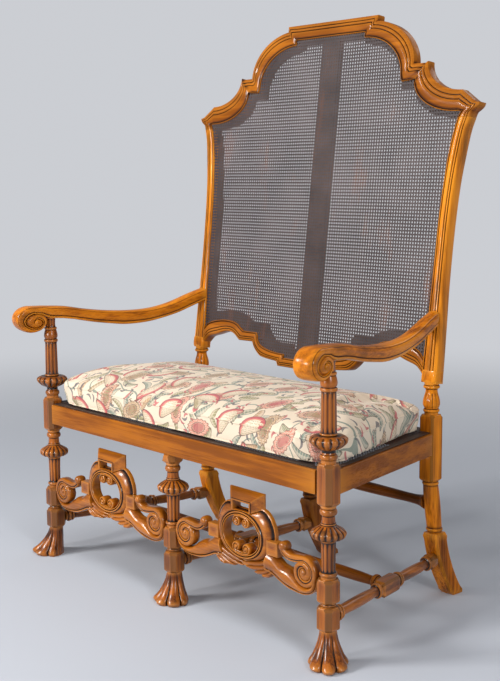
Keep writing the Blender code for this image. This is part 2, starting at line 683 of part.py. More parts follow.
def sight_half():
    """Right half of the crest's inner edge, from the joint with the stile to the middle."""
    wide, tall = BACK_HALF_WIDTH, BACK_HEIGHT
    top_x, top_y = SIGHT_TOP_SHARE
    end = math.degrees(math.acos((top_x - SIGHT_ARCH_CENTRE_SHARE[0]) / SIGHT_ARCH_RADII_SHARE[0]))
    half = [(JOINT_INNER_SHARE, JOINT_HEIGHT_SHARE), SIGHT_CORNER_SHARE]
    half += arc(SIGHT_COVE_CENTRE_SHARE, SIGHT_COVE_RADII_SHARE, 270, 180) + [SIGHT_STEP_SHARE]
    half += arc(SIGHT_ARCH_CENTRE_SHARE, SIGHT_ARCH_RADII_SHARE, 0, end) + [(top_x, top_y), (0, top_y)]
    return scaled(half, wide, tall)


def back_rails():
    back_piece("crest_rail", [split_loop(crest_half(), sight_half())], 0, BACK_THICKNESS, POLISHED)
    upper = scaled(RAIL_UPPER_SHARES, BACK_HALF_WIDTH, BACK_HEIGHT)
    lower = scaled(RAIL_LOWER_SHARES, BACK_HALF_WIDTH, BACK_HEIGHT)
    ends = [(x - GAP if i == 0 else x, y) for i, (x, y) in enumerate(upper)]
    feet = [(x - GAP if i == 0 else x, y) for i, (x, y) in enumerate(lower)]
    back_piece("back_bottom_rail", [split_loop(list(reversed(ends)), feet)], 0, BACK_THICKNESS, POLISHED)


def split_loop(outward, inward):
    """A band that crosses the middle: one edge runs outwards, the other runs back in."""
    right = list(outward) + list(inward)
    left = [(-x, y) for x, y in reversed(right) if x > MERGE]
    return right + left


def sight_loop():
    """The whole opening of the back: crest, stiles and bottom rail."""
    upper = scaled(RAIL_UPPER_SHARES, BACK_HALF_WIDTH, BACK_HEIGHT)
    stile = [p for p in stile_inner() if p[1] > upper[0][1]]
    return mirrored_loop(list(reversed(upper)) + stile + sight_half())


def holds(loop, point):
    """Whether a closed outline holds a point, by the edges that cross the level to the point's right."""
    x, y = point
    ends = np.array(loop)
    nexts = np.roll(ends, -1, axis=0)
    crosses = (ends[:, 1] > y) != (nexts[:, 1] > y)
    a, b = ends[crosses], nexts[crosses]
    at = a[:, 0] + (y - a[:, 1]) * (b[:, 0] - a[:, 0]) / (b[:, 1] - a[:, 1])
    return int((at > x).sum()) % 2 == 1


def cane_openings():
    """A plain grid of openings, a stand-in for the open weave, wherever no board stands behind it."""
    clear = mirrored_loop(scaled(LINER_SHARES, BACK_HALF_WIDTH, BACK_HEIGHT))
    start = MUNTIN_WIDTH / 2
    pitch = (CANE_GRID_REACH - start) / CANE_GRID_COLUMNS
    bar = CANE_GRID_BAR / 2
    rows = int(BACK_HEIGHT / pitch)
    loops = []
    for column in range(CANE_GRID_COLUMNS):
        low_x, high_x = start + pitch * column + bar, start + pitch * (column + 1) - bar
        for row in range(rows):
            low_y, high_y = pitch * row + bar, pitch * (row + 1) - bar
            corners = [(low_x, low_y), (high_x, low_y), (high_x, high_y), (low_x, high_y)]
            if all(holds(clear, corner) for corner in corners):
                loops += [corners, [(-x, y) for x, y in reversed(corners)]]
    return loops


def back_cane():
    loops = [inset(sight_loop(), GAP), *cane_openings()]
    back_piece("back_cane", loops, CANE_RECESS, CANE_RECESS + BACK_CANE_THICKNESS, CANE)


def run_between(path, low, high):
    """The part of a rising path between two heights, cut level at both of them."""
    points = np.array(path)
    kept = [tuple(p) for p in points[(points[:, 1] > low) & (points[:, 1] < high)]]
    for level, first in ((low, True), (high, False)):
        rises = (points[:-1, 1] <= level) & (points[1:, 1] > level)
        if rises.any():
            place = int(np.argmax(rises))
            start, end = points[place], points[place + 1]
            cut = tuple(start + (end - start) * (level - start[1]) / (end[1] - start[1]))
            kept = [cut] + kept if first else kept + [cut]
    return kept


def back_liner():
    """Narrow boards along the frame's back edge, and the upright behind the cane that joins them."""
    near = LINER_FRONT_RECESS
    far = BACK_THICKNESS - LINER_REAR_RECESS
    half_count = len(sight_loop()) // 2 + 1
    outer = inset(sight_loop(), GAP)[:half_count]
    inner = scaled(LINER_SHARES, BACK_HALF_WIDTH, BACK_HEIGHT)
    foot = LINER_FOOT_JOINT_SHARE * BACK_HEIGHT
    head = LINER_HEAD_JOINT_SHARE * BACK_HEIGHT
    below = [run_between(path, -BACK_HEIGHT, foot) for path in (outer, inner)]
    beside = [run_between(path, foot + GAP, head) for path in (outer, inner)]
    above = [run_between(path, head + GAP, 2 * BACK_HEIGHT) for path in (outer, inner)]
    back_piece("back_liner_bottom", [split_loop(below[0], below[1][::-1])], near, far, UNPOLISHED)
    back_piece("back_liner_top", [split_loop(above[0][::-1], above[1])], near, far, UNPOLISHED)
    side = beside[0] + beside[1][::-1]
    back_piece("back_liner_right", [side], near, far, UNPOLISHED)
    back_piece("back_liner_left", [[(-x, y) for x, y in side[::-1]]], near, far, UNPOLISHED)
    low = inner[0][1] + GAP
    top = inner[-1][1] - GAP
    half = MUNTIN_WIDTH / 2
    outline = [(-half, low), (half, low), (half, top), (-half, top)]
    back_piece("back_muntin", [outline], CANE_RECESS + BACK_CANE_THICKNESS + GAP, far, UNPOLISHED)


def arm_end():
    """Where the arm meets the front face of the stile, at the height of its middle."""
    height = ARM_UNDERSIDE + ARM_HEIGHT
    return BACK_FACE_Y + (height - STILE_FOOT) * math.tan(BACK_RAKE) - GAP


def arm_outline():
    """The arm from the side: (y, z), with the rolled scroll in front of the leg."""
    length = arm_end()
    rake = math.tan(BACK_RAKE)
    top = [(x * length, ARM_UNDERSIDE + y * ARM_HEIGHT) for x, y in ARM_TOP_SHARES]
    low = [(x * length, ARM_UNDERSIDE + y * ARM_HEIGHT) for x, y in ARM_LOW_SHARES]
    middle = ARM_UNDERSIDE + ARM_HEIGHT
    top[0] = (length + (top[0][1] - middle) * rake, top[0][1])
    low[-1] = (length + (low[-1][1] - middle) * rake, low[-1][1])
    centre = (-(ARM_REACH + SCROLL_BACK) / 2, top[-1][1] - SCROLL_HALF_HEIGHT)
    radii = ((ARM_REACH - SCROLL_BACK) / 2, SCROLL_HALF_HEIGHT)
    roll = arc(centre, radii, 90, 360, 18)
    neck = (-SCROLL_BACK, ARM_UNDERSIDE)
    return smooth_line(top, 2) + roll[:-1] + [neck] + smooth_line(low, 2)


def arm(name, side):
    outline = arm_outline()
    half = ARM_WIDTH_FRONT / 2
    piece = flat_piece(name, [outline], -half, half, POLISHED, ARM_EDGE)
    length = arm_end()
    for vertex in piece.data.vertices:
        y, z, across = vertex.co
        taper = 1 + (ARM_WIDTH_BACK / ARM_WIDTH_FRONT - 1) * min(max(y / length, 0), 1)
        vertex.co = (side * side_line(y) + across * taper, y, z)
    radius = TENON_RADIUS + GAP
    mortise = spindle(name + "_mortise", [(ARM_UNDERSIDE + TENON_LENGTH + GAP, radius),
                                          (ARM_UNDERSIDE - OVERRUN, radius)],
                      POLISHED, TURNING_STEPS, (side * LEG_SPACING, 0, 0))
    return combine(piece, [mortise], "DIFFERENCE")


def carved_stretcher(name, side):
    """The pierced front stretcher between two legs: ring, crown, knobs and end scrolls."""
    span = LEG_SPACING / 2
    tall = CARVED_TOP - CARVED_BOTTOM
    reach = (span - LEG_BLOCK / 2 - GAP) / span
    centre_x, centre_y = CARVED_SCROLL_CENTRE_SHARE
    radii = (reach - centre_x, CARVED_SCROLL_RADII_SHARE[1])
    scroll = arc((centre_x, centre_y), radii, 100, -60, 12)
    half = CARVED_CROWN_SHARES + CARVED_RING_SHARES + CARVED_KNOB_SHARES + scroll + CARVED_BELLY_SHARES
    hole = arc((0, CARVED_HOLE_CENTRE_SHARE), CARVED_HOLE_RADII_SHARE, 0, 360, 24)[:-1]
    window = CARVED_WINDOW_SHARES + [(-x, y) for x, y in reversed(CARVED_WINDOW_SHARES)]
    slots = [CARVED_SLOT_SHARES, [(-x, y) for x, y in reversed(CARVED_SLOT_SHARES)]]
    loops = [mirrored_loop(half), hole, window, *slots]
    shaped = [[(x * span, CARVED_BOTTOM + y * tall) for x, y in loop] for loop in loops]
    piece = flat_piece(name, shaped, -CARVED_THICKNESS / 2, CARVED_THICKNESS / 2, POLISHED)
    middle = (side * span, CARVED_FACE_Y + CARVED_THICKNESS / 2, 0)
    piece.data.transform(Matrix.Translation(middle) @ Matrix.Rotation(math.radians(90), 4, "X"))
    return piece


def lay_along(piece, start, slope):
    """Lay an upright turned piece along +Y from its start, leaning across by a slope."""
    across, deep, high = start
    for vertex in piece.data.vertices:
        x, y, z = vertex.co
        vertex.co = (across + x + slope * z, deep + z, high - y)
    return piece


def lay_across(piece, start, deep, high):
    """Lay an upright turned piece along +X."""
    for vertex in piece.data.vertices:
        x, y, z = vertex.co
        vertex.co = (start + z, deep + y, high - x)
    return piece


def turned_half(foot, top):
    """Rings and swell of a turned length between two blocks."""
    return shares_profile(STRETCHER_HALF_SHARES, top, foot, STRETCHER_RING_RADIUS)


def fore_and_aft(name, x_front, x_back):
    """A fore-and-aft stretcher: end blocks, turned lengths and a middle block."""
    start = LEG_BLOCK / 2 + GAP
    rear_axis = SEAT_DEPTH + rear_kick(STRETCHER_HEIGHT)
    foot_face = SEAT_DEPTH + rear_kick(STRETCHER_HEIGHT + STRETCHER_END_BLOCK / 2) - LEG_BLOCK / 2
    length = foot_face - GAP - start
    slope = (x_back - x_front) / rear_axis
    middle = length / 2
    half_mid = STRETCHER_MID_LENGTH / 2
    profile = [(length - STRETCHER_END_LENGTH + OVERRUN, STRETCHER_RADIUS)]
    profile += turned_half(middle + half_mid, length - STRETCHER_END_LENGTH)
    profile += [(middle + half_mid - OVERRUN, STRETCHER_RADIUS), (middle - half_mid + OVERRUN, STRETCHER_RADIUS)]
    profile += turned_half(0, middle - half_mid)
    bar = baked(spindle(name, profile, POLISHED, STRETCHER_STEPS))
    end = STRETCHER_END_BLOCK / 2
    mid = STRETCHER_MID_BLOCK / 2
    blocks = [
        baked(block(name + "_end", (-end, -end, length - STRETCHER_END_LENGTH), (end, end, length), POLISHED,
                    LEG_BLOCK_CHAMFER / 2)),
        baked(block(name + "_middle", (-mid, -mid, middle - half_mid), (mid, mid, middle + half_mid),
                    POLISHED, LEG_BLOCK_CHAMFER)),
    ]
    origin = (x_front + slope * start, start, STRETCHER_HEIGHT)
    for piece in [bar, *blocks]:
        lay_along(piece, origin, slope)
    return combine(bar, blocks, "UNION"), start + middle, slope


def stretchers():
    fore_and_aft("side_stretcher_left", -LEG_SPACING, -POST_SPACING)
    fore_and_aft("middle_stretcher", 0, 0)
    bar, deep, slope = fore_and_aft("side_stretcher_right", LEG_SPACING, POST_SPACING)
    half = STRETCHER_MID_BLOCK / 2
    outer = LEG_SPACING + slope * deep - (1 + abs(slope)) * half - GAP
    length = outer - half - GAP
    cross = [(length, STRETCHER_RING_RADIUS * STRETCHER_HALF_SHARES[0][1])]
    cross += turned_half(0, length)
    lay_across(baked(spindle("cross_stretcher_right", cross, POLISHED, STRETCHER_STEPS)), half + GAP, deep,
               STRETCHER_HEIGHT)
    lay_across(baked(spindle("cross_stretcher_left", cross, POLISHED, STRETCHER_STEPS)),
               -half - GAP - length, deep, STRETCHER_HEIGHT)
    deep = SEAT_DEPTH + rear_kick(REAR_STRETCHER_HEIGHT)
    start = SHAFT_RADIUS + GAP
    length = POST_SPACING - 2 * start
    profile = shares_profile(REAR_STRETCHER_SHARES, length, 0, REAR_STRETCHER_RADIUS)
    for name, left in (("rear_stretcher_right", start), ("rear_stretcher_left", -start - length)):
        lay_across(baked(spindle(name, profile, POLISHED, STRETCHER_STEPS)), left, deep, REAR_STRETCHER_HEIGHT)


def cushion():
    """The loose box cushion: crowned top, flat base, sides drawn in between round corners."""
    low = RAIL_TOP + CANE_THICKNESS + 2 * GAP
    work = bmesh.new()
    bmesh.ops.create_cube(work, size=2)
    for axis, count in ((0, CUSHION_ACROSS), (1, CUSHION_ALONG), (2, CUSHION_UP)):
        normal = [0, 0, 0]
        normal[axis] = 1
        for level in np.linspace(-1, 1, count)[1:-1]:
            centre = [0, 0, 0]
            centre[axis] = level
            everything = work.verts[:] + work.edges[:] + work.faces[:]
            bmesh.ops.bisect_plane(work, geom=everything, plane_co=centre, plane_no=normal)
    for vertex in work.verts:
        vertex.co = cushion_point(*vertex.co, low)
    mesh = bpy.data.meshes.new("seat_cushion")
    work.to_mesh(mesh)
    work.free()
    piece = add("seat_cushion", mesh, FABRIC, (0, 0, 0))
    soft = piece.modifiers.new("soft", "SUBSURF")
    soft.levels = soft.render_levels = 1
    piece.data.shade_smooth()
    return piece


def toward_edge(t):
    """Crowd evenly spaced levels towards both edges."""
    return math.copysign(1 - (1 - abs(t)) ** 1.5, t)


def cushion_point(u, v, w, low):
    """A point of the cushion from its place in a cube that runs from -1 to 1 each way."""
    u, v = toward_edge(u), toward_edge(v)
    back = SEAT_DEPTH - POST_BLOCK / 2 - CUSHION_BACK_CLEARANCE
    y = CUSHION_FRONT_Y + (back - CUSHION_FRONT_Y) * (v + 1) / 2
    half = side_line(y) - CUSHION_SIDE_INSET
    x = abs(u) * half
    corner, end, way = (CUSHION_FRONT_CORNER, CUSHION_FRONT_Y, 1) if v < 0 else (CUSHION_BACK_CORNER, back, -1)
    across = (x - half + corner) / corner
    along = 1 - abs(y - end) / corner
    if across > 0 and along > 0:
        turn = max(across, along) / math.hypot(across, along)
        x = half - corner + across * turn * corner
        y = end + way * (1 - along * turn) * corner
    x -= CUSHION_DRAWN_IN * (1 - v * v) * abs(u) ** 3
    y -= CUSHION_DRAWN_IN * (1 - u * u) * v ** 3
    crown = CUSHION_CROWN * (1 - u ** 6) * (1 - v ** 4)
    z = low + (w + 1) / 2 * (CUSHION_EDGE_HEIGHT + crown)
    return math.copysign(x, u), y, z


front_legs()
rear_post("rear_post_left", -1)
rear_post("rear_post_right", 1)
rear_leg_middle()
seat_rails()
corner_blocks()
seat_cane()
back_rails()
back_cane()
back_liner()
arm("arm_left", -1)
arm("arm_right", 1)
carved_stretcher("carved_stretcher_left", -1)
carved_stretcher("carved_stretcher_right", 1)
stretchers()
cushion()
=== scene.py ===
import math

import bmesh
import bpy
import numpy as np
from mathutils import Matrix, Vector


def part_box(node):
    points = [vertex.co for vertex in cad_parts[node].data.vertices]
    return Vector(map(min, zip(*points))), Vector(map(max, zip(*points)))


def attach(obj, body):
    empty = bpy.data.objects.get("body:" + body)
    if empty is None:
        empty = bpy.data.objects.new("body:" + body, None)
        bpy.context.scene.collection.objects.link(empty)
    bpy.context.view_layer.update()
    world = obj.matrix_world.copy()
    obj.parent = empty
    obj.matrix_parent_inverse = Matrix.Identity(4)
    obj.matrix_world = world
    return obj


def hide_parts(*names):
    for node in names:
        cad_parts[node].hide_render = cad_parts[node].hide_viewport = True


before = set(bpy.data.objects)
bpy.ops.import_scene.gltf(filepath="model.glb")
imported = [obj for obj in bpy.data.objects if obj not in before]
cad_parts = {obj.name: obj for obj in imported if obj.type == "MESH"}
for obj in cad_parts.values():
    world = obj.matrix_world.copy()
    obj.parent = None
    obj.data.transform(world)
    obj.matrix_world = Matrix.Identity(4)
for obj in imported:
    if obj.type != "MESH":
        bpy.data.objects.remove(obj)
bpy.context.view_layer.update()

# Half the spacing of the front legs and of the posts, the depth between their axes, and the seat frame
plan = {
    "legSpacing": 0.527, "postSpacing": 0.431, "seatDepth": 0.459, "railTop": 0.4275, "railTall": 0.053,
    "frontReach": 0.5042, "rearReach": 0.4097, "nearEnd": 0.0228, "farEnd": 0.4377, "legToRail": 0.0185,
    "gap": 0.0003,
}
# The front legs' axes stand on this line; y is measured from it in the code below
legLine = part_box("front_seat_rail")[0].y + plan["legToRail"]
underRail = plan["railTop"] - plan["railTall"] - plan["gap"]
flipX = np.array([-1, 1])


# Surfaces

def shell(points, wraps=False, capped=False):
    # A grid of rows and columns as faces; wraps joins the last column to the first,
    # capped closes both ends with a fan round the middle of the row
    points = np.asarray(points, float)
    rows, columns = points.shape[:2]
    index = np.arange(rows * columns).reshape(rows, columns)
    if wraps:
        index = np.concatenate([index, index[:, :1]], axis=1)
    a, b = index[:-1, :-1].ravel(), index[:-1, 1:].ravel()
    c, d = index[1:, 1:].ravel(), index[1:, :-1].ravel()
    quads = np.stack([a, b, c, d], axis=1)
    flat = points.reshape(-1, 3)
    threes = np.zeros((0, 3), int)
    if capped:
        count = len(flat)
        flat = np.concatenate([flat, points[0].mean(0)[None], points[-1].mean(0)[None]])
        first, last = index[0], index[-1]
        near = np.stack([first[1:], first[:-1], np.full(len(first) - 1, count)], axis=1)
        far = np.stack([last[:-1], last[1:], np.full(len(last) - 1, count + 1)], axis=1)
        threes = np.concatenate([near, far])
    return {"points": flat, "quads": quads, "threes": threes}


def closedShell(points):
    # A surface that wraps round and is capped at both ends
    return shell(points, wraps=True, capped=True)


def moved(form, offset):
    # The same surface at another place
    return {**form, "points": form["points"] + np.asarray(offset, float)}


def vertexValues(mesh, field):
    # Three numbers for each vertex, one row each
    values = np.zeros(len(mesh.vertices) * 3)
    mesh.vertices.foreach_get(field, values)
    return values.reshape(-1, 3)


def keepOnPoints(mesh, name, values, kind="FLOAT", field="value"):
    # The values as an attribute that a material can read
    mesh.attributes.new(name, kind, "POINT")
    mesh.attributes[name].data.foreach_set(field, np.asarray(values).astype(np.float32).ravel())


# How strongly hollows darken with dirt and painted shade, how strongly ridges lighten with wear and painted
# highlight, and how many passes spread each
shadeAndWear = {"nearHollow": 7.0, "wideHollow": 9.0, "ridge": 5.0, "nearPasses": 1, "widePasses": 5}


def creases(mesh):
    # For each vertex, the mean of n.(q - p)/|q - p| over its neighbours q:
    # above 0 in a hollow, below 0 on a ridge
    count = len(mesh.vertices)
    places, normals = vertexValues(mesh, "co"), vertexValues(mesh, "normal")
    ends = np.zeros(len(mesh.edges) * 2, int)
    mesh.edges.foreach_get("vertices", ends)
    ends = ends.reshape(-1, 2)
    bend, number = np.zeros(count), np.zeros(count)
    for here, there in ((0, 1), (1, 0)):
        p, q = ends[:, here], ends[:, there]
        step = places[q] - places[p]
        rise = (normals[p] * step).sum(1) / np.maximum(np.linalg.norm(step, axis=1), 1e-9)
        np.add.at(bend, p, rise)
        np.add.at(number, p, 1)
    bend /= np.maximum(number, 1)

    def spread(values, passes):
        # Each pass takes the mean of a vertex and its neighbours
        for _ in range(passes):
            total, weight = values.copy(), np.ones(count)
            for here, there in ((0, 1), (1, 0)):
                np.add.at(total, ends[:, here], values[ends[:, there]])
                np.add.at(weight, ends[:, here], 1)
            values = total / weight
        return values

    stain = np.zeros(count, np.float32)
    mesh.attributes["stain"].data.foreach_get("value", stain)
    # hollow: dirt and painted shade in creases and recesses, plus the real stain of the block chamfers; worn:
    # wear and painted highlight on ridges
    near, wide = spread(bend, shadeAndWear["nearPasses"]), spread(np.maximum(bend, 0), shadeAndWear["widePasses"])
    hollow = np.maximum(near * shadeAndWear["nearHollow"] + wide * shadeAndWear["wideHollow"], 0) + stain
    keepOnPoints(mesh, "hollow", np.clip(hollow, 0, 1))
    keepOnPoints(mesh, "worn", np.clip(-near * shadeAndWear["ridge"], 0, 1))


def build(name, forms, material, node, body="frame", sharp=38, weld=0.00002, closed=True):
    # One object of the visual model from several surfaces, in place of one CAD node
    offset, places, quads, threes, stains = 0, [], [], [], []
    for form in forms:
        places.append(form["points"])
        stains.append(form.get("stain", np.zeros(len(form["points"]))))
        quads.append(form["quads"] + offset)
        threes.append(form["threes"] + offset)
        offset += len(form["points"])
    places, quads, threes = np.concatenate(places), np.concatenate(quads), np.concatenate(threes)
    mesh = bpy.data.meshes.new(name)
    mesh.vertices.add(len(places))
    mesh.vertices.foreach_set("co", (places + np.array([0, legLine, 0])).ravel())
    loops = np.concatenate([quads.ravel(), threes.ravel()])
    starts = np.concatenate([np.arange(len(quads)) * 4, len(quads) * 4 + np.arange(len(threes)) * 3])
    mesh.loops.add(len(loops))
    mesh.loops.foreach_set("vertex_index", loops)
    mesh.polygons.add(len(starts))
    mesh.polygons.foreach_set("loop_start", starts)
    mesh.update(calc_edges=True)
    mesh.validate()
    keepOnPoints(mesh, "stain", np.concatenate(stains))
    work = bmesh.new()
    work.from_mesh(mesh)
    bmesh.ops.remove_doubles(work, verts=work.verts, dist=weld)
    if closed:
        bmesh.ops.recalc_face_normals(work, faces=work.faces)
    work.to_mesh(mesh)
    work.free()
    mesh.shade_smooth()
    mesh.set_sharp_from_angle(angle=math.radians(sharp))
    creases(mesh)
    piece = bpy.data.objects.new(name, mesh)
    bpy.context.scene.collection.objects.link(piece)
    mesh.materials.append(material)
    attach(piece, body)
    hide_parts(node)
    return piece


# Lines

def smoothLine(points, steps=6):
    # Catmull-Rom through the points: (2b + (c-a)t + (2a-5b+4c-d)t^2 + (3b-a-3c+d)t^3)/2
    points = np.asarray(points, float)
    ends = np.concatenate([points[:1] * 2 - points[1:2], points, points[-1:] * 2 - points[-2:-1]])
    a, b, c, d = (ends[i:len(ends) - 3 + i][:, None] for i in range(4))
    t = (np.arange(steps) / steps)[None, :, None]
    line = (2 * b + (c - a) * t + (2 * a - 5 * b + 4 * c - d) * t ** 2 + (3 * b - a - 3 * c + d) * t ** 3) / 2
    return np.concatenate([line.reshape(-1, points.shape[1]), points[-1:]])


def evenly(line, count):
    # The line resampled at equal steps of its length
    line = np.asarray(line, float)
    length = np.concatenate([[0], np.cumsum(np.linalg.norm(np.diff(line, axis=0), axis=1))])
    wanted = np.linspace(0, length[-1], count)
    return np.stack([np.interp(wanted, length, line[:, i]) for i in range(line.shape[1])], axis=1)


def ellipse(centre, radii, start, end, count):
    # (cx + a cos t, cy + b sin t) between two angles in degrees
    t = np.radians(np.linspace(start, end, count))
    return np.stack([centre[0] + radii[0] * np.cos(t), centre[1] + radii[1] * np.sin(t)], axis=1)


def around(steps):
    # Equal angles once round
    return np.arange(steps) * (2 * math.pi / steps)


def atHeight(flat, height):
    # The points of a plan at one height
    return np.concatenate([flat, np.full((len(flat), 1), height)], axis=1)


def fromBothSides(*edges):
    # The right half of each edge and its mirror image, as one run from left to right
    return [np.concatenate([(edge * flipX)[:0:-1], edge]) for edge in edges]


def bothHalves(half):
    # The right half of an outline and its mirror image, as a closed loop
    return np.concatenate([half, (half * flipX)[::-1]])


def sideLine(y):
    # Half the width between the side rails' lines, which run from the front legs in to the posts
    return plan["legSpacing"] + (plan["postSpacing"] - plan["legSpacing"]) * y / plan["seatDepth"]


# Turning: a profile is a list of runs of (height, radius)

def straight(*points):
    # Corners joined by straight lines
    return np.array(points, float)


def flow(*points):
    # A smooth curve through the points
    return smoothLine(points, 5)


def bead(top, foot, edge, widest, count=9):
    # r = edge + (widest - edge) sin t while z runs from top to foot as cos t
    t = np.linspace(0, math.pi, count)
    z, r = (top + foot) / 2 + (top - foot) / 2 * np.cos(t), edge + (widest - edge) * np.sin(t)
    return np.stack([z, r], axis=1)


def lobes(count, depth, top, foot, soft=0.003):
    # Gadroons: round lobes with sharp valleys
    return {"count": count, "depth": depth, "top": top, "foot": foot, "soft": soft, "round": True}


def flutes(count, depth, top, foot, soft=0.003):
    # Flutes: hollows with sharp ridges
    return {"count": count, "depth": depth, "top": top, "foot": foot, "soft": soft, "round": False}


def turned(runs, steps=64, carvings=()):
    # r(z, a) = profile(z) (1 + sum of depth * wave(count a) * window(z) / widest), once round the axis
    profile = np.concatenate(runs)
    angles = around(steps)
    z, r = profile[:, :1], profile[:, 1:]
    radius = np.repeat(r, steps, axis=1)
    for carving in carvings:
        inside = np.minimum(carving["top"] - z, z - carving["foot"])
        window = np.clip(inside / carving["soft"] + 0.5, 0, 1)
        wave = np.abs(np.cos(angles * carving["count"] / 2))
        wave = np.sqrt(wave) - 1 if carving["round"] else wave ** 2 - 1
        radius = radius * (1 + carving["depth"] / r.max() * wave[None] * window)
    return closedShell(np.stack([radius * np.cos(angles), radius * np.sin(angles),
                                 np.repeat(z, steps, axis=1)], axis=2))


def squareRing(half, cut, height):
    # A square with cut corners, five points along each side, as one ring
    edge = np.array([-1, -0.84, 0, 0.84, 1]) * (half - cut)
    side = np.stack([np.full(5, half), edge], axis=1)
    quarters = np.arange(4) * math.pi / 2
    turns = [np.array([[math.cos(q), -math.sin(q)], [math.sin(q), math.cos(q)]]) for q in quarters]
    return atHeight(np.concatenate([side @ turn.T for turn in turns]), height)


# The ends of a square block: distance from the end, how far its sides stand in, share of its cut, more cut
block = {
    "foot": [(0, 0.0058, 0.80, 0), (0.0030, 0.0022, 0.94, 0), (0.0062, 0, 1, 0), (0.0090, 0, 1, 0)],
    "top": [(0.0120, 0, 1, 0), (0.0068, 0, 1, 0), (0.0030, 0.0002, 1, 0.0042), (0.0012, 0.0010, 1, 0.0034),
            (0, 0.0028, 1, 0)],
    "short": 0.04, "tenon": 0.3, "tenonCut": 0.12, "cornerStain": 0.50,
}


def legBlock(top, foot, half=0.0225, cut=0.0098, neck=0.0165):
    # A square block with broad cut corners, stained darker: its foot slopes in,
    # and its corners are notched at the top
    low, high = block["foot"], block["top"]
    if top - foot < block["short"]:
        low, high = low[:3], high[2:]
    rows = [squareRing(half - inset, cut * share + more, foot + z) for z, inset, share, more in low]
    rows += [squareRing(half - inset, cut * share + more, top - z) for z, inset, share, more in high]
    ends = [squareRing(neck * block["tenon"], neck * block["tenonCut"], z) for z in (foot, top)]
    rows = ends[:1] + rows + ends[1:]
    form = closedShell(np.array(rows))
    stain = np.tile([block["cornerStain"], 0.0, 0.0, 0.0, block["cornerStain"]], 4 * len(rows))
    form["stain"] = np.concatenate([stain, np.zeros(2)])
    return form


print("scene: shapes ready")


# Materials

def arithmetic(operation):
    # The methods for wire with value and, reflected, for value with wire
    def plain(self, other):
        return self.maths(operation, other)

    def reflected(self, other):
        return self.node("ShaderNodeMath", {"operation": operation}, {0: other, 1: self})

    return plain, reflected


class Wire:
    # One value running through a material, so that shader maths reads as arithmetic
    def __init__(self, tree, socket):
        self.tree = tree
        self.socket = socket

    def node(self, kind, settings=None, values=None, output=0):
        item = self.tree.nodes.new(kind)
        for key, value in (settings or {}).items():
            setattr(item, key, value)
        for key, value in (values or {}).items():
            if isinstance(value, Wire):
                self.tree.links.new(value.socket, item.inputs[key])
            else:
                item.inputs[key].default_value = value
        return Wire(self.tree, item.outputs[output])

    def maths(self, operation, *others, clamp=False):
        values = dict(enumerate((self,) + others))
        return self.node("ShaderNodeMath", {"operation": operation, "use_clamp": clamp}, values)

    def vector(self, operation, others=None, output=0):
        values = {0: self, **(others or {})}
        return self.node("ShaderNodeVectorMath", {"operation": operation}, values, output)

    __add__, __radd__ = arithmetic("ADD")
    __sub__, __rsub__ = arithmetic("SUBTRACT")
    __mul__, __rmul__ = arithmetic("MULTIPLY")
    __truediv__, __rtruediv__ = arithmetic("DIVIDE")
    __pow__, __rpow__ = arithmetic("POWER")

    def clamped(self):
        return self.maths("ADD", 0.0, clamp=True)

    def above(self, limit):
        return self.maths("GREATER_THAN", limit)

    def below(self, limit):
        return self.maths("LESS_THAN", limit)

    def between(self, low, high):
        return self.above(low) * self.below(high)

    def span(self, low, high):
        # 0 below low, 1 above high, straight between
        return ((self - low) / (high - low)).clamped()

    def mix(self, first, second):
        # The first colour where this value is 0, the second where it is 1
        return self.node("ShaderNodeMix", {"data_type": "RGBA"}, {0: self, 6: first, 7: second}, 2)

    def noise(self, scale, detail=3.0, rough=0.5, output=0):
        values = {"Vector": self, "Scale": scale, "Detail": detail, "Roughness": rough}
        return self.node("ShaderNodeTexNoise", {}, values, output)

    def stretched(self, scale, location=(0, 0, 0), rotation=(0, 0, 0)):
        scale = scale if isinstance(scale, tuple) else (scale, scale, scale)
        return self.node("ShaderNodeMapping", {}, {"Vector": self, "Scale": scale, "Location": location,
                                                   "Rotation": rotation})

    def bump(self, strength, distance):
        return self.node("ShaderNodeBump", {}, {"Height": self, "Strength": strength, "Distance": distance})

    def attribute(self, name, output=2):
        return self.node("ShaderNodeAttribute", {"attribute_name": name}, output=output)


def newMaterial(name, fixed):
    # A material with the fixed inputs set, its shader, and the place on the object
    material = bpy.data.materials.new(name)
    material.use_nodes = True
    tree = material.node_tree
    shader = tree.nodes["Principled BSDF"]
    for key, value in fixed.items():
        shader.inputs[key].default_value = value
    place = Wire(tree, tree.nodes.new("ShaderNodeTexCoord").outputs["Object"])
    return material, shader, place


def connect(shader, links):
    # Wires to the shader's named inputs
    for key, wire in links.items():
        wire.tree.links.new(wire.socket, shader.inputs[key])


def opaque(colour):
    # A colour with full alpha
    return (colour[0], colour[1], colour[2], 1.0)


def alongGrain(place, along, across, length, detail, rough):
    # Noise with the given cells per metre across the grain and along it
    scale = [across, across, across]
    scale["xyz".index(along)] = length
    return place.stretched(tuple(scale)).noise(1.0, detail, rough)


# For each layer: cells per metre across the grain and along it, detail, roughness
grain = {"figure": (24.0, 2.4, 5.0, 0.62), "streak": (85.0, 3.4, 3.0, 0.55), "fibre": (340.0, 10.0, 3.0, 0.6),
         "inner": (22.0, 2.4, 6.0, 0.65)}
# Broad patches: cells per metre, detail, roughness
patches = (6.0, 2.0, 0.5)
# How the layers are weighed into one tone, and where it runs from dark to middle to light
tones = {"figure": 0.60, "streak": 0.38, "fibre": 0.20, "cloud": 0.30, "shift": 0.24, "range": (0.375, 0.60),
         "toMiddle": (0.0, 0.50), "toLight": (0.42, 1.0)}
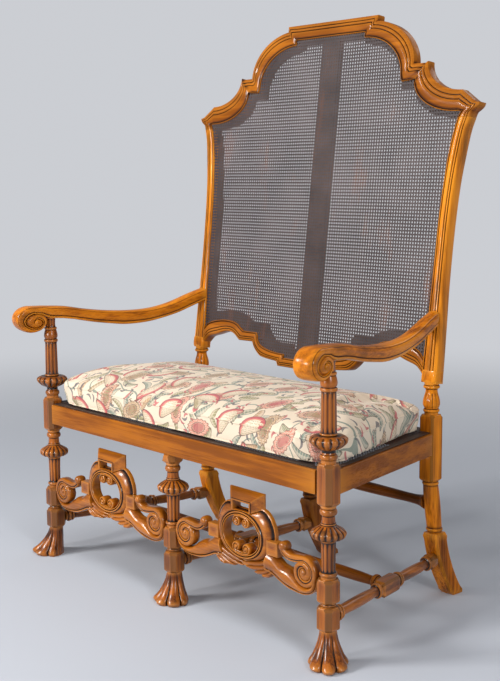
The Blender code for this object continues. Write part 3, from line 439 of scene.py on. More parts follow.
# How patches spare the worn edges with their painted highlight, how fibres hold the dirt and painted shade of
# hollows, what adds to the roughness, depth of the pores
polish = {
    "wearAndHighlightShare": 0.25, "wearAndHighlightPatches": 0.7, "dirtAndShade": 1.0, "dirtAndShadeFibre": 0.3, "less": 0.05, "fibre": 0.10,
    "patches": 0.08, "hollow": 0.25, "poreFibre": 0.6, "poreFigure": 0.4, "pores": (0.10, 0.0006),
}
# The near-black recess colour paints dirt and painted shade into hollows; the pale colour on ridges paints
# wear and a painted highlight
polished = {
    "light": (0.80, 0.255, 0.0065), "middle": (0.52, 0.134, 0.0030), "dark": (0.150, 0.033, 0.0016),
    "recess": (0.012, 0.005, 0.0035), "wearAndHighlight": (0.72, 0.290, 0.028), "rough": 0.25, "coat": 0.28,
    "gloss": 0.10,
}
deep = {
    **polished, "light": (0.35, 0.098, 0.0035), "middle": (0.175, 0.039, 0.0018),
    "wearAndHighlight": (0.54, 0.195, 0.020),
}
carvedLook = {
    **deep, "light": (0.42, 0.118, 0.0040), "middle": (0.19, 0.042, 0.0020), "coat": 1.0, "gloss": 0.23,
}
legLook = {
    **polished, "light": (0.40, 0.106, 0.0050), "middle": (0.19, 0.043, 0.0025),
    "dark": (0.055, 0.013, 0.002), "wearAndHighlight": (0.66, 0.250, 0.045), "coat": 0.95, "gloss": 0.24,
}
# Darker copy for the middle rear leg and the rear and cross stretchers: partly darker wood, partly painted
# shade for parts that stand in shade
darkAndShadedLook = {
    **polished, "light": (0.29, 0.078, 0.006), "middle": (0.13, 0.030, 0.0030), "dark": (0.036, 0.009, 0.002),
    "wearAndHighlight": (0.40, 0.14, 0.020),
}
armLook = {
    **polished, "light": (0.72, 0.220, 0.0050), "middle": (0.47, 0.117, 0.0025),
    "dark": (0.19, 0.042, 0.0016), "recess": (0.045, 0.016, 0.006), "coat": 0.42, "gloss": 0.17,
}


def walnut(name, along, look):
    # Polished wood whose grain runs along one axis: fine fibres, broad figure, hollows darkened with dirt and
    # painted shade, edges lightened with wear and painted highlight
    material, shader, place = newMaterial(name, {"Coat Weight": look["coat"], "Coat Roughness": look["gloss"],
                                                 "Coat IOR": 1.45, "Specular IOR Level": 0.05})
    figure, streak, fibre = (alongGrain(place, along, *grain[key]) for key in ("figure", "streak", "fibre"))
    cloud = place.noise(*patches)
    tone = figure * tones["figure"] + streak * tones["streak"] + fibre * tones["fibre"]
    tone = (tone + cloud * tones["cloud"] - tones["shift"]).span(*tones["range"])
    wood = tone.span(*tones["toMiddle"]).mix(opaque(look["dark"]), opaque(look["middle"]))
    wood = tone.span(*tones["toLight"]).mix(wood, opaque(look["light"]))
    hollow, worn = place.attribute("hollow"), place.attribute("worn")
    # Ridges lighten towards a pale colour: wear and painted highlight
    wearAndHighlight = worn * (polish["wearAndHighlightShare"] + polish["wearAndHighlightPatches"] * cloud)
    # Hollows darken towards the recess colour: dirt and painted shade
    dirtAndShadeMask = hollow * (polish["dirtAndShade"] + polish["dirtAndShadeFibre"] * fibre)
    wood = wearAndHighlight.clamped().mix(wood, opaque(look["wearAndHighlight"]))
    wood = dirtAndShadeMask.clamped().mix(wood, opaque(look["recess"]))
    rough = look["rough"] - polish["less"] + polish["fibre"] * fibre
    rough = rough + polish["patches"] * cloud + polish["hollow"] * hollow
    bump = (polish["poreFibre"] * fibre + polish["poreFigure"] * figure).bump(*polish["pores"])
    connect(shader, {"Base Color": wood, "Roughness": rough, "Normal": bump})
    return material


def dullWood(name, along):
    # Unpolished inner wood, dark and dry
    material, shader, place = newMaterial(name, {"Specular IOR Level": 0.3})
    figure = alongGrain(place, along, *grain["inner"])
    wood = figure.span(0.3, 0.7).mix((0.050, 0.020, 0.008, 1), (0.150, 0.058, 0.020, 1))
    rough, bump = figure * 0.2 + 0.52, figure.bump(0.15, 0.0008)
    connect(shader, {"Base Color": wood, "Roughness": rough, "Normal": bump})
    return material


def stainedCane(name, dark, light, rust=(0.22, 0.085, 0.045)):
    # Dark stained cane: each strand a little different, worn reddish in patches
    material, shader, place = newMaterial(name, {"Specular IOR Level": 0.35})
    patch, fleck = place.noise(9.0, 3.0, 0.55), place.noise(260.0, 2.0, 0.6)
    strand = (patch * 0.7 + fleck * 0.5 - 0.1).span(0.3, 0.75).mix(opaque(dark), opaque(light))
    worn = place.stretched((11.0, 11.0, 3.0), (0.4, 0, 0.2)).noise(1.0, 4.0, 0.65).span(0.58, 0.72) * 0.55
    connect(shader, {"Base Color": worn.mix(strand, opaque(rust)), "Roughness": fleck * 0.2 + 0.42})
    return material


woods = {axis: walnut("walnut_grain_" + axis, axis, look)
         for axis, look in (("z", polished), ("x", deep), ("y", deep))}
carvedWood = walnut("carved_walnut_grain_x", "x", carvedLook)
armWood = walnut("arm_walnut_grain_y", "y", armLook)
legWoods = {axis: walnut("leg_walnut_grain_" + axis, axis, legLook) for axis in "yz"}
# Partly darker wood, partly painted shade on the parts that stand in shade
darkAndShadedWoods = {axis: walnut("dark_shaded_walnut_grain_" + axis, axis, darkAndShadedLook) for axis in "xz"}
insides = {axis: dullWood("inner_wood_grain_" + axis, axis) for axis in "xyz"}
wovenCane = stainedCane("dark_cane", (0.030, 0.020, 0.021), (0.105, 0.076, 0.074))
borderCane = stainedCane("dark_cane_border", (0.024, 0.014, 0.010), (0.075, 0.045, 0.032))
print("scene: materials ready")


# Front legs

frontLeg = {
    # Collar, ball, neck, gadrooned cap, fluted column, ring
    "underSeat": [
        straight((0.3545, 0.0168), (0.350, 0.0172), (0.3465, 0.0160)),
        bead(0.3463, 0.3313, 0.0138, 0.0192, 13),
        flow((0.3300, 0.0140), (0.3265, 0.0143), (0.3200, 0.0147), (0.3145, 0.0158)),
        straight((0.3140, 0.0168), (0.3118, 0.0168)),
        flow((0.3112, 0.0160), (0.3080, 0.0205), (0.3040, 0.0275), (0.2995, 0.0345), (0.2945, 0.0388),
             (0.2895, 0.0390), (0.2850, 0.0366), (0.2815, 0.0325)),
        straight((0.2805, 0.0300), (0.2795, 0.0240), (0.2790, 0.0182)),
        bead(0.2788, 0.2735, 0.0166, 0.0187, 7),
        flow((0.2730, 0.0166), (0.2500, 0.0160), (0.2200, 0.0155), (0.2065, 0.0155)),
        bead(0.2062, 0.1975, 0.0160, 0.0196),
        straight((0.1970, 0.0166), (0.1905, 0.0163)),
    ],
    "underSeatCarving": [lobes(16, 0.0056, 0.3085, 0.2810), flutes(10, 0.0034, 0.2705, 0.2085, 0.004)],
    # Reeded neck, ring, vase, ring, fluted column, gadrooned cup, ball
    "armSupport": [
        straight((0.6670, 0.0142), (0.6640, 0.0142)),
        flow((0.6635, 0.0139), (0.6500, 0.0134), (0.6408, 0.0139)),
        bead(0.6400, 0.6325, 0.0140, 0.0172, 7),
        flow((0.6320, 0.0155), (0.6290, 0.0164), (0.6225, 0.0180), (0.6160, 0.0188), (0.6110, 0.0176),
             (0.6075, 0.0158)),
        bead(0.6070, 0.5985, 0.0160, 0.0190),
        flow((0.5980, 0.0163), (0.5700, 0.0168), (0.5350, 0.0173), (0.5105, 0.0176)),
        bead(0.5100, 0.5052, 0.0176, 0.0192, 7),
        straight((0.5050, 0.0195), (0.5046, 0.0300)),
        flow((0.5042, 0.0325), (0.5022, 0.0368), (0.4988, 0.0408), (0.4945, 0.0421), (0.4900, 0.0408),
             (0.4850, 0.0360), (0.4800, 0.0300), (0.4755, 0.0210), (0.4735, 0.0162)),
        straight((0.4728, 0.0150), (0.4680, 0.0146)),
        flow((0.4676, 0.0148), (0.4655, 0.0155), (0.4645, 0.0162)),
        bead(0.4640, 0.4525, 0.0160, 0.0194, 11),
        straight((0.4518, 0.0166), (0.4440, 0.0165)),
    ],
    "armSupportCarving": [lobes(14, 0.0056, 0.5035, 0.4760), flutes(10, 0.0034, 0.5960, 0.5125, 0.004),
                          flutes(10, 0.0026, 0.6630, 0.6420)],
    "ankleRing": [straight((0.1385, 0.0168), (0.1372, 0.0168)), bead(0.1370, 0.1310, 0.0160, 0.0172, 5),
                  straight((0.1308, 0.0168), (0.1295, 0.0168))],
    # Top and foot of the square blocks; the one at the seat ends under the rail or runs up to the arm support
    "blocks": [(0.192, 0.138), (0.130, 0.0765)], "seatBlockFoot": 0.353, "seatBlockTop": 0.4446, "steps": 104,
}
paw = {
    # How far the sole reaches forwards, to each side and back
    "corner": (0.0655, 0.046, 0.018), "middle": (0.050, 0.050, 0.028),
    "steps": 220, "top": 0.0775, "ankle": 0.0186, "toes": 5, "fan": 118, "ball": 0.0042,
    "groove": (0.15, 0.09), "grooveRise": 1.6, "toePower": 0.45, "fanEdge": 0.25,
    # Width of the heel, how soon it widens, and the ball: height and spread in shares, its swell on the toes
    "heelWidth": 0.80, "widening": 0.45, "ballHeight": 0.10, "ballSpread": 0.085, "ballToes": 1.3,
    # Share of the height, flare, depth of the grooves
    "rings": [
        (0.00, 0.88, 0.9), (0.02, 0.94, 1.0), (0.06, 0.99, 1.0), (0.11, 1.01, 1.0), (0.16, 0.99, 1.0),
        (0.21, 0.92, 1.0), (0.26, 0.82, 1.0), (0.31, 0.72, 1.0), (0.37, 0.62, 1.0), (0.44, 0.515, 1.0),
        (0.52, 0.405, 1.0), (0.60, 0.305, 1.0), (0.69, 0.205, 1.0), (0.78, 0.125, 0.95), (0.87, 0.065, 0.8),
        (0.94, 0.03, 0.5), (1.00, 0.0, 0.0),
    ],
}


def pawFoot(heading, reach, spread, heel):
    # Each ring runs from the round ankle (flare 0) to the fan of the sole (flare 1);
    # the root of |cos| gives round toes with sharp valleys, all the way up to the ankle
    ankle = paw["ankle"]
    heights, flares, depths = (np.array(v)[:, None] for v in zip(*paw["rings"]))
    angles = around(paw["steps"])
    forward, lateral = np.cos(angles)[None], np.sin(angles)[None]
    front = np.clip((forward / paw["widening"] + 1) / 2, 0, 1)
    front = front * front * (3 - 2 * front)
    soleX = np.where(forward > 0, forward * reach, forward * heel)
    soleY = lateral * spread * (paw["heelWidth"] + (1 - paw["heelWidth"]) * front)
    turn = np.arctan2(lateral, forward)
    fan = math.radians(paw["fan"])
    wave = np.abs(np.cos(np.clip(turn / fan, -1, 1) * math.pi * paw["toes"] / 2))
    lobe = (wave ** paw["toePower"] - 1) * np.clip((fan - np.abs(turn)) / paw["fanEdge"], 0, 1)
    size = ankle + (np.hypot(soleX, soleY) - ankle) * flares
    narrow, wide = paw["groove"]
    shrink = 1 + lobe * depths * (narrow + wide * np.minimum(flares * paw["grooveRise"], 1))
    x = (forward * ankle + (soleX - forward * ankle) * flares) * shrink
    y = (lateral * ankle + (soleY - lateral * ankle) * flares) * shrink
    ball = np.exp(-((heights - paw["ballHeight"]) / paw["ballSpread"]) ** 2) * paw["ball"] * front
    ball = ball * (1 + paw["ballToes"] * lobe)
    length = np.maximum(size, 0.01)
    x, y = x * (1 + ball / length), y * (1 + ball / length)
    a = math.radians(heading)
    x, y = x * math.cos(a) - y * math.sin(a), x * math.sin(a) + y * math.cos(a)
    return closedShell(np.stack([x, y, np.repeat(heights * paw["top"], paw["steps"], axis=1)], axis=2))


def frontLegs():
    # Two corner legs that run up to the arms, and a middle one that ends under the rail
    for word, side, heading in (("left", -1, -135), ("middle", 0, -90), ("right", 1, -45)):
        forms = [
            turned(frontLeg["underSeat"], frontLeg["steps"], frontLeg["underSeatCarving"]),
            legBlock(frontLeg["seatBlockTop"] if side else underRail, frontLeg["seatBlockFoot"]),
            turned(frontLeg["ankleRing"], 40),
            pawFoot(heading, *paw["corner" if side else "middle"]),
        ] + [legBlock(top, foot) for top, foot in frontLeg["blocks"]]
        if side:
            forms.append(turned(frontLeg["armSupport"], frontLeg["steps"], frontLeg["armSupportCarving"]))
        forms = [moved(form, (side * plan["legSpacing"], 0, 0)) for form in forms]
        build("front_leg_%s_carved" % word, forms, legWoods["z"], "front_leg_" + word)


frontLegs()
print("scene: front legs")


# Raked back

back = {"face": 0.443, "foot": 0.5494, "rake": math.radians(7.0), "half": 0.505, "tall": 0.9067}
# Across a moulded band: share of its width from the opening's edge, a distance added to it, height
moulding = [
    (0, 0, -0.0290), (0, 0, -0.0040), (0, 0.0002, -0.0016), (0, 0.0012, -0.0004), (0, 0.0024, -0.0012),
    (0, 0.0028, -0.0028), (0, 0.0036, -0.0022), (0.20, 0, -0.0005), (0.36, 0, 0.0002),
    (0.50, -0.0006, -0.0005), (0.52, 0, -0.0014), (0.52, 0.0006, -0.0042), (0.52, 0.0015, -0.0042),
    (0.52, 0.0020, -0.0014), (0.60, 0.0005, -0.0003), (0.68, 0, -0.0007), (0.735, -0.0005, -0.0018),
    (0.735, 0.0001, -0.0046), (0.735, 0.0010, -0.0046), (0.735, 0.0015, -0.0018), (0.82, 0, -0.0010),
    (0.91, 0, -0.0024), (1, -0.0010, -0.0046), (1, 0, -0.0080), (1, 0, -0.0285), (1, -0.0018, -0.0318),
    (1, -0.0035, -0.0320), (0, 0.0035, -0.0320), (0, 0.0015, -0.0316),
]
mouldingWidth = 0.030
# Right halves of the outlines, as shares of the back's half width and of its height;
# an arc is its centre and its radii
crest = {
    "break": 0.321, "breakFoot": 0.986, "arch": ((0.267, 0.8536), (0.317, 0.1323)),
    "shoulder": [(0.584, 0.8536), (0.670, 0.8536)], "cove": ((0.891, 0.8575), (0.221, 0.0827)),
    "sightBreak": 0.2475, "sightTop": 0.955, "sightArch": ((0.2376, 0.8217), (0.2713, 0.118)),
    "sightShoulder": [(0.5089, 0.8217), (0.512, 0.8070), (0.598, 0.8095)],
    "sightCove": ((0.871, 0.8095), (0.273, 0.0915)),
    "sightEnd": [(0.871, 0.718), (0.900, 0.718), (0.886, 0.7030)],
    "ear": [(0.891, 0.7748), (0.911, 0.7665), (0.944, 0.754), (0.976, 0.742), (1.0, 0.7395)],
    "underEar": [(1.0, 0.7395), (0.993, 0.730), (0.975, 0.722), (0.960, 0.716), (0.9515, 0.7030)],
    "counts": (12, 4, 36, 6, 40, 10, 8),
}
# Of the rail's two edges: wing, cove, the end of the step, height at the middle
bottomRail = {
    "upper": ([(0.811, 0.064), (0.773, 0.083), (0.712, 0.0933), (0.644, 0.0982), (0.582, 0.097),
               (0.537, 0.0912), (0.498, 0.0783), (0.476, 0.0717)],
              [(0.370, 0.0712), (0.362, 0.0636), (0.354, 0.0485), (0.333, 0.0361), (0.295, 0.0276),
               (0.234, 0.021), (0.173, 0.0182), (0.1436, 0.0182)],
              (0.1436, 0.0064), 0.0064),
    "lower": ([(0.811, 0.018), (0.780, 0.035), (0.756, 0.042), (0.703, 0.050), (0.629, 0.062),
               (0.567, 0.0593), (0.514, 0.0403)],
              [(0.404, 0.0416), (0.386, 0.0254), (0.3545, 0.0085), (0.317, -0.0011), (0.202, -0.0077)],
              (0.189, -0.0204), -0.0212),
    "counts": (30, 6, 26, 4, 8),
}
stile = {
    "inner": [(0.811, 0.0), (0.812, 0.05), (0.815, 0.11), (0.822, 0.25), (0.825, 0.34), (0.828, 0.45),
              (0.841, 0.562), (0.853, 0.621), (0.872, 0.676), (0.886, 0.7022)],
    "outer": [(0.899, 0.0), (0.897, 0.06), (0.892, 0.16), (0.887, 0.25), (0.886, 0.34), (0.889, 0.438),
              (0.898, 0.53), (0.914, 0.603), (0.932, 0.667), (0.9515, 0.7022)],
    "count": 60,
    # Plinth at its foot: centre behind the face, and rings of height up the rake, half width, half depth
    "plinthBehind": 0.016, "plinthPower": 0.42, "plinthSteps": 72,
    "plinth": [(0.030, 0.0222, 0.0162), (0.026, 0.0234, 0.0172), (0.014, 0.0238, 0.0176),
               (0.0075, 0.0236, 0.0174), (0.0035, 0.0226, 0.0166), (0.0012, 0.0208, 0.0152)],
}


def raked(points):
    # (across, up the rake, towards the front) to the frame
    x, s, f = points[..., 0], points[..., 1], points[..., 2]
    sine, cosine = math.sin(back["rake"]), math.cos(back["rake"])
    return np.stack([x, back["face"] + s * sine - f * cosine, back["foot"] + s * cosine + f * sine], axis=-1)


def paired(outer, inner, counts):
    # Two edges of a band in metres, run by run, resampled so that their points face each other
    size = np.array([back["half"], back["tall"]])
    return [np.concatenate([evenly(run, count) for run, count in zip(edge, counts)]) * size
            for edge in (outer, inner)]


def mouldedBand(outer, inner):
    # point(u, v) = inner(u) + (outer(u) - inner(u)) (share(v) + offset(v) / width(u)), at height(v)
    width = np.linalg.norm(outer - inner, axis=1)[:, None]
    share, offset, height = np.array(moulding).T
    across = share[None] + offset[None] * np.minimum(width / mouldingWidth, 1) / width
    flat = inner[:, None] + (outer - inner)[:, None] * across[:, :, None]
    height = np.repeat(height[None, :, None], len(outer), axis=0)
    return closedShell(raked(np.concatenate([flat, height], axis=2)))


def archDown(centre, radii, x):
    # The upper right of an ellipse, from where it stands over x down to its end
    return ellipse(centre, radii, math.degrees(math.acos((x - centre[0]) / radii[0])), 0, 40)


def crestPaths():
    # Flat top, step, arch, shoulder, hanging curve and ear, from the middle out to the stile
    x, sight, top = crest["break"], crest["sightBreak"], crest["sightTop"]
    sightArch = archDown(*crest["sightArch"], sight)
    outer = [
        [(0, 1.0), (x, 1.0)], [(x, 1.0), (x, crest["breakFoot"])], archDown(*crest["arch"], x),
        crest["shoulder"], ellipse(*crest["cove"], 180, 270, 40), smoothLine(crest["ear"]),
        smoothLine(crest["underEar"]),
    ]
    inner = [
        [(0, top), (sight, top)], [(sight, top), (sight, sightArch[0, 1])], sightArch,
        crest["sightShoulder"], ellipse(*crest["sightCove"], 180, 270, 40), crest["sightEnd"][:2],
        crest["sightEnd"][1:],
    ]
    return paired(outer, inner, crest["counts"])


def railPaths():
    # Arched wing, step, cove and flat middle, from the middle out to the stile
    edges = []
    for wing, cove, step, middle in (bottomRail["lower"], bottomRail["upper"]):
        edges.append([smoothLine(wing), [wing[-1], cove[0]], smoothLine(cove), [cove[-1], step],
                      [step, (0, middle)]])
    return [edge[::-1] for edge in paired(*edges, bottomRail["counts"])]


def stilePaths():
    # The right stile's two edges, from its foot up to the crest
    return paired([smoothLine(stile["outer"])], [smoothLine(stile["inner"])], (stile["count"],))


def backFrame():
    # The crest and the shaped bottom rail as moulded bands
    for name, paths in (("crest_rail", crestPaths()), ("back_bottom_rail", railPaths())):
        build(name + "_moulded", [mouldedBand(*fromBothSides(*paths))], woods["x"], name, sharp=28)


backFrame()

rearLeg = {
    "slopeTop": 0.305, "slope": 0.147, "kickTop": 0.171, "kick": 0.093,
    "shaft": [
        straight((0.3075, 0.0175), (0.3040, 0.0178)), bead(0.3035, 0.2960, 0.0182, 0.0205, 7),
        flow((0.2950, 0.0186), (0.2750, 0.0196), (0.2450, 0.0200), (0.2150, 0.0196), (0.1850, 0.0186)),
        bead(0.1840, 0.1765, 0.0182, 0.0205, 7), straight((0.1760, 0.0178), (0.1700, 0.0175)),
    ],
    "vase": [
        straight((0.5560, 0.0178), (0.5440, 0.0178)), bead(0.5430, 0.5345, 0.0160, 0.0202),
        flow((0.5335, 0.0150), (0.5290, 0.0146), (0.5210, 0.0162), (0.5120, 0.0190), (0.5030, 0.0208),
             (0.4950, 0.0208), (0.4890, 0.0186), (0.4850, 0.0165)),
        bead(0.4845, 0.4765, 0.0165, 0.0200), straight((0.4760, 0.0170), (0.4690, 0.0168)),
    ],
    "vaseCarving": [lobes(12, 0.0012, 0.5240, 0.4870)],
    "foot": {"half": 0.0225, "end": 0.0195, "flare": 0.75, "ease": 0.004, "cut": 0.0055, "endCut": 0.0025,
             "bare": 0.012},
    "seatBlock": {"half": 0.021, "cut": 0.0040}, "seatBlockTop": 0.4705,
}


def rearKick(z):
    # How far back a rear leg's axis stands: slope * drop, and a square law more below the top of the kick
    drop, below = np.maximum(rearLeg["slopeTop"] - z, 0), np.maximum(rearLeg["kickTop"] - z, 0)
    more = rearLeg["kick"] - rearLeg["slope"] * rearLeg["slopeTop"]
    return rearLeg["slope"] * drop + more * (below / rearLeg["kickTop"]) ** 2


def kickedBack(form):
    # The form with each point moved back by the kick at its height
    points = form["points"].copy()
    points[:, 1] += rearKick(points[:, 2])
    return {**form, "points": points}


def rearLegForms(top):
    # Square block at the seat, turned shaft, square foot with eased ends
    foot, rows = rearLeg["foot"], []
    for z in np.linspace(0.0, rearLeg["kickTop"], 19):
        end = min(z, rearLeg["kickTop"] - z)
        half = foot["half"] if end > foot["ease"] else foot["end"] + end * foot["flare"]
        rows.append(squareRing(half, foot["cut"] if end > foot["bare"] else foot["endCut"], z))
    seatBlock = legBlock(top, rearLeg["slopeTop"], rearLeg["seatBlock"]["half"], rearLeg["seatBlock"]["cut"])
    return [seatBlock, kickedBack(turned(rearLeg["shaft"], 48)), kickedBack(closedShell(np.array(rows)))]


def stileFoot(side):
    # The wider plinth under a stile: rings |x/wide|^(1/p) + |y/deep|^(1/p) = 1, that stop above the vase ring
    t = around(stile["plinthSteps"])
    x, y = (np.sign(wave) * np.abs(wave) ** stile["plinthPower"] for wave in (np.cos(t), np.sin(t)))
    middle, behind = side * plan["postSpacing"], stile["plinthBehind"]
    rows = [np.stack([middle + x * wide, np.full(len(t), s), y * deep - behind], axis=1)
            for s, wide, deep in stile["plinth"]]
    return closedShell(raked(np.array(rows)))


def rearLegs():
    # Two posts that run up into the stiles, and a middle leg that ends under the rail
    outer, inner = stilePaths()
    for word, side in (("left", -1), ("right", 1)):
        flip = np.array([side, 1])
        post = [turned(rearLeg["vase"], 64, rearLeg["vaseCarving"])] + rearLegForms(rearLeg["seatBlockTop"])
        post = [moved(form, (side * plan["postSpacing"], plan["seatDepth"], 0)) for form in post]
        forms = post + [mouldedBand(outer * flip, inner * flip), stileFoot(side)]
        build("rear_post_%s_turned" % word, forms, woods["z"], "rear_post_" + word, sharp=30)
    middle = [moved(form, (0, plan["seatDepth"], 0)) for form in rearLegForms(underRail)]
    build("rear_leg_middle_turned", middle, darkAndShadedWoods["z"], "rear_leg_middle")


rearLegs()
print("scene: back frame and rear legs")


# Cane

weave = {
    "pitch": 0.00845, "uprightPair": 0.00125, "upright": 0.0022, "levelPair": 0.0009, "level": 0.0017,
    "diagonal": 0.0019, "diagonalHeights": (0.0006, 0.0009), "lift": 0.00035, "behindFace": 0.0055,
}
seatPanel = {
    "front": -0.0105, "rear": 0.468, "overSide": 0.009, "height": 0.4290, "borderWidth": 0.014,
    "borderFoot": 0.4282, "borderEdge": 0.4300, "borderTop": 0.4306,
}


def strands(loop, angle, offsets, width, place, level=0.0, lift=0.0):
    # Ribbons along one direction inside a closed outline; a woven one rises and falls as
    # level + lift * cos(pi t / pitch), the other way round on every second strand
    turn = math.radians(angle)
    along, across = np.array([math.cos(turn), math.sin(turn)]), np.array([-math.sin(turn), math.cos(turn)])
    a = np.stack([loop @ along, loop @ across], axis=1)
    b = np.roll(a, -1, axis=0)
    forms = []
    for number, offset in enumerate(offsets):
        hit = (a[:, 1] <= offset) != (b[:, 1] <= offset)
        x = np.sort(a[hit, 0] + (offset - a[hit, 1]) * (b[hit, 0] - a[hit, 0]) / (b[hit, 1] - a[hit, 1]))
        for start, end in zip(x[::2], x[1::2]):
            step = weave["pitch"] / 2 if lift else 0.1
            inner = np.arange(math.ceil(start / step), math.floor(end / step) + 1) * step
            t = np.concatenate([[start], inner[(inner > start + 1e-4) & (inner < end - 1e-4)], [end]])
            height = level + lift * np.cos(math.pi * t / weave["pitch"]) * (1 if number // 2 % 2 else -1)
            middle = np.outer(t, along)
            rows = [np.concatenate([middle + (offset + side * width / 2) * across, height[:, None]], axis=1)
                    for side in (-1, 1)]
            forms.append(shell(place(np.stack(rows, axis=1))))
    return forms


def caneWeave(name, loop, place, node):
    # Six ways: a pair up, a pair across, and one strand each way corner to corner
    pitch, lift = weave["pitch"], weave["lift"]
    low, high = loop.min(0), loop.max(0)
    upright = np.arange(math.ceil(-high[0] / pitch), math.floor(-low[0] / pitch) + 1) * pitch
    level = np.arange(math.ceil(low[1] / pitch), math.floor(high[1] / pitch) + 1) * pitch
    upright, level = (np.stack([lines - pair, lines + pair], axis=1).ravel()
                      for lines, pair in ((upright, weave["uprightPair"]), (level, weave["levelPair"])))
    reach = int(np.abs(loop).max() * 3 / pitch)
    slant = (np.arange(-reach, reach) + 0.5) * pitch / math.sqrt(2)
    groups = {
        "uprights": strands(loop, 90, upright, weave["upright"], place, 0.0, lift),
        "levels": strands(loop, 0, level, weave["level"], place, 0.0, lift),
        "diagonals": [form for angle, height in zip((45, -45), weave["diagonalHeights"])
                      for form in strands(loop, angle, slant, weave["diagonal"], place, height)],
    }
    for word, forms in groups.items():
        build("%s_%s" % (name, word), forms, wovenCane, node, weld=0.000001, closed=False)


def backCane():
    # The opening of the back is closed by the inner edges of crest, stiles and bottom rail
    crestEdge, railEdge, stileEdge = (paths()[1] for paths in (crestPaths, railPaths, stilePaths))
    side = stileEdge[stileEdge[:, 1] > railEdge[-1, 1]]
    loop = bothHalves(np.concatenate([railEdge, side, crestEdge[::-1]]))
    behind = np.array([0, 0, weave["behindFace"]])
    caneWeave("back_cane_woven", loop, lambda points: raked(points - behind), "back_cane")


def seatCane():
    # A panel over the seat rails, notched round the legs, with a flat border
    near, far, over = plan["nearEnd"], plan["farEnd"], seatPanel["overSide"]
    front, rear = plan["frontReach"], plan["rearReach"]
    half = np.array([(front, seatPanel["front"]), (front, near), (sideLine(near) + over, near),
                     (sideLine(far) + over, far), (rear, far), (rear, seatPanel["rear"])])
    loop, lift = bothHalves(half), np.array([0, 0, seatPanel["height"]])
    caneWeave("seat_cane_woven", loop, lambda points: points + lift, "seat_cane")
    rim = bothHalves(half + seatPanel["borderWidth"] * np.array([(-1, 1)] * 3 + [(-1, -1)] * 3))
    foot, edge, top = (seatPanel[key] for key in ("borderFoot", "borderEdge", "borderTop"))
    band = np.array([atHeight(loop, foot), atHeight(loop, edge), atHeight(rim, top), atHeight(rim, foot)])
    band = band.transpose(1, 0, 2)
    band = np.concatenate([band, band[:1]])
    build("seat_cane_border", [shell(band, wraps=True)], borderCane, "seat_cane", sharp=20)


backCane()
seatCane()
print("scene: cane")


# Arms

arm = {
    "length": 0.4614, "axis": 0.664, "unit": 0.04, "halfFront": 0.024, "halfRear": 0.018, "swell": 0.09,
    "rearTop": 0.704, "eye": (-0.044, 0.657), "flat": 0.88, "button": (0.0085, 0.0055), "buttonOut": 0.0235,
    # Where the swell and the turn of the scroll begin, and over how long they grow
    "swellFrom": -0.03, "swellOver": 0.05, "turnFrom": 0.16, "turnOver": 0.12,
    # Upper and lower edge: share of the length from the front leg's line, units above the axis
    "upper": [(1.0, 1.44), (0.91, 1.10), (0.78, 0.575), (0.657, 0.27), (0.52, 0.1875), (0.364, 0.28),
              (0.217, 0.50), (0.087, 0.775)],
    "lower": [(1.0, 0.55), (0.91, 0.20), (0.80, -0.2375), (0.66, -0.60), (0.564, -0.7375), (0.46, -0.76),
              (0.38, -0.66), (0.26, -0.45), (0.13, -0.1375)],
    "upperEnd": (-0.020, 0.6995),
    "neck": [(0.030, 0.6630), (0.010, 0.6642), (-0.012, 0.6680), (-0.030, 0.6765)],
    # Turns, half length, half height, centre y, centre z
    "scroll": [
        (0.00, 0.0470, 0.0360, -0.0625, 0.6646), (0.25, 0.0470, 0.0355, -0.0625, 0.6646),
        (0.50, 0.0445, 0.0345, -0.0600, 0.6635), (0.75, 0.0380, 0.0300, -0.0535, 0.6600),
        (1.00, 0.0340, 0.0225, -0.0510, 0.6580), (1.25, 0.0310, 0.0180, -0.0500, 0.6570),
        (1.50, 0.0235, 0.0155, -0.0470, 0.6570), (1.75, 0.0170, 0.0120, -0.0450, 0.6570),
        (2.00, 0.0110, 0.0085, -0.0440, 0.6570),
    ],
    # Share of the half width, share of the thickness
    "section": [
        (-0.50, 0.0), (0.0, -0.01), (0.50, 0.0), (0.76, 0.015), (0.90, 0.05), (0.955, 0.11), (0.945, 0.175),
        (0.89, 0.215), (0.85, 0.235), (0.85, 0.255), (0.93, 0.28), (0.985, 0.37), (1.0, 0.52), (0.99, 0.66),
        (0.965, 0.74), (0.92, 0.80), (0.880, 0.828), (0.866, 0.850), (0.856, 0.880), (0.80, 0.915),
        (0.72, 0.945), (0.55, 0.975), (0.30, 0.994), (0.0, 1.0),
    ],
}


def spiral(knots, turns, start=90.0, sense=1.0):
    # centre + (a cos t, b sin t), its size and centre eased from knot to knot, t from the start angle on
    fine = smoothLine(knots, 8)
    values = [np.interp(turns, fine[:, 0], fine[:, i]) for i in range(1, 5)]
    t = np.radians(start) + sense * turns * 2 * math.pi
    return np.stack([values[2] + values[0] * np.cos(t), values[3] + values[1] * np.sin(t)], axis=1)


def rolledEdge(curl, eye, steps):
    # The inner edge of a rolled slab: the same spiral one turn later, then in to the eye as t^0.3
    t = np.linspace(0, 1, steps + 1)[1:, None]
    return np.concatenate([curl[steps:], curl[-1] + (np.array(eye) - curl[-1]) * t ** 0.3])


def joined(lead, count, curl):
    # A lead and a spiral with a short straight line between
    return np.concatenate([lead, evenly(np.array([lead[-1], curl[0]]), count)[1:-1], curl])


def rolledSlab(top, low, section, place):
    # P(u, v) = low(u) + b(v) (top(u) - low(u)) in the slab's plane, a(v) across it
    full = list(section) + [(-a, b) for a, b in reversed(section[2:-1])]
    a, b = np.array(full).T
    flat = low[:, None] + (top - low)[:, None] * b[None, :, None]
    return closedShell(place(flat, np.repeat(a[None], len(top), axis=0)))


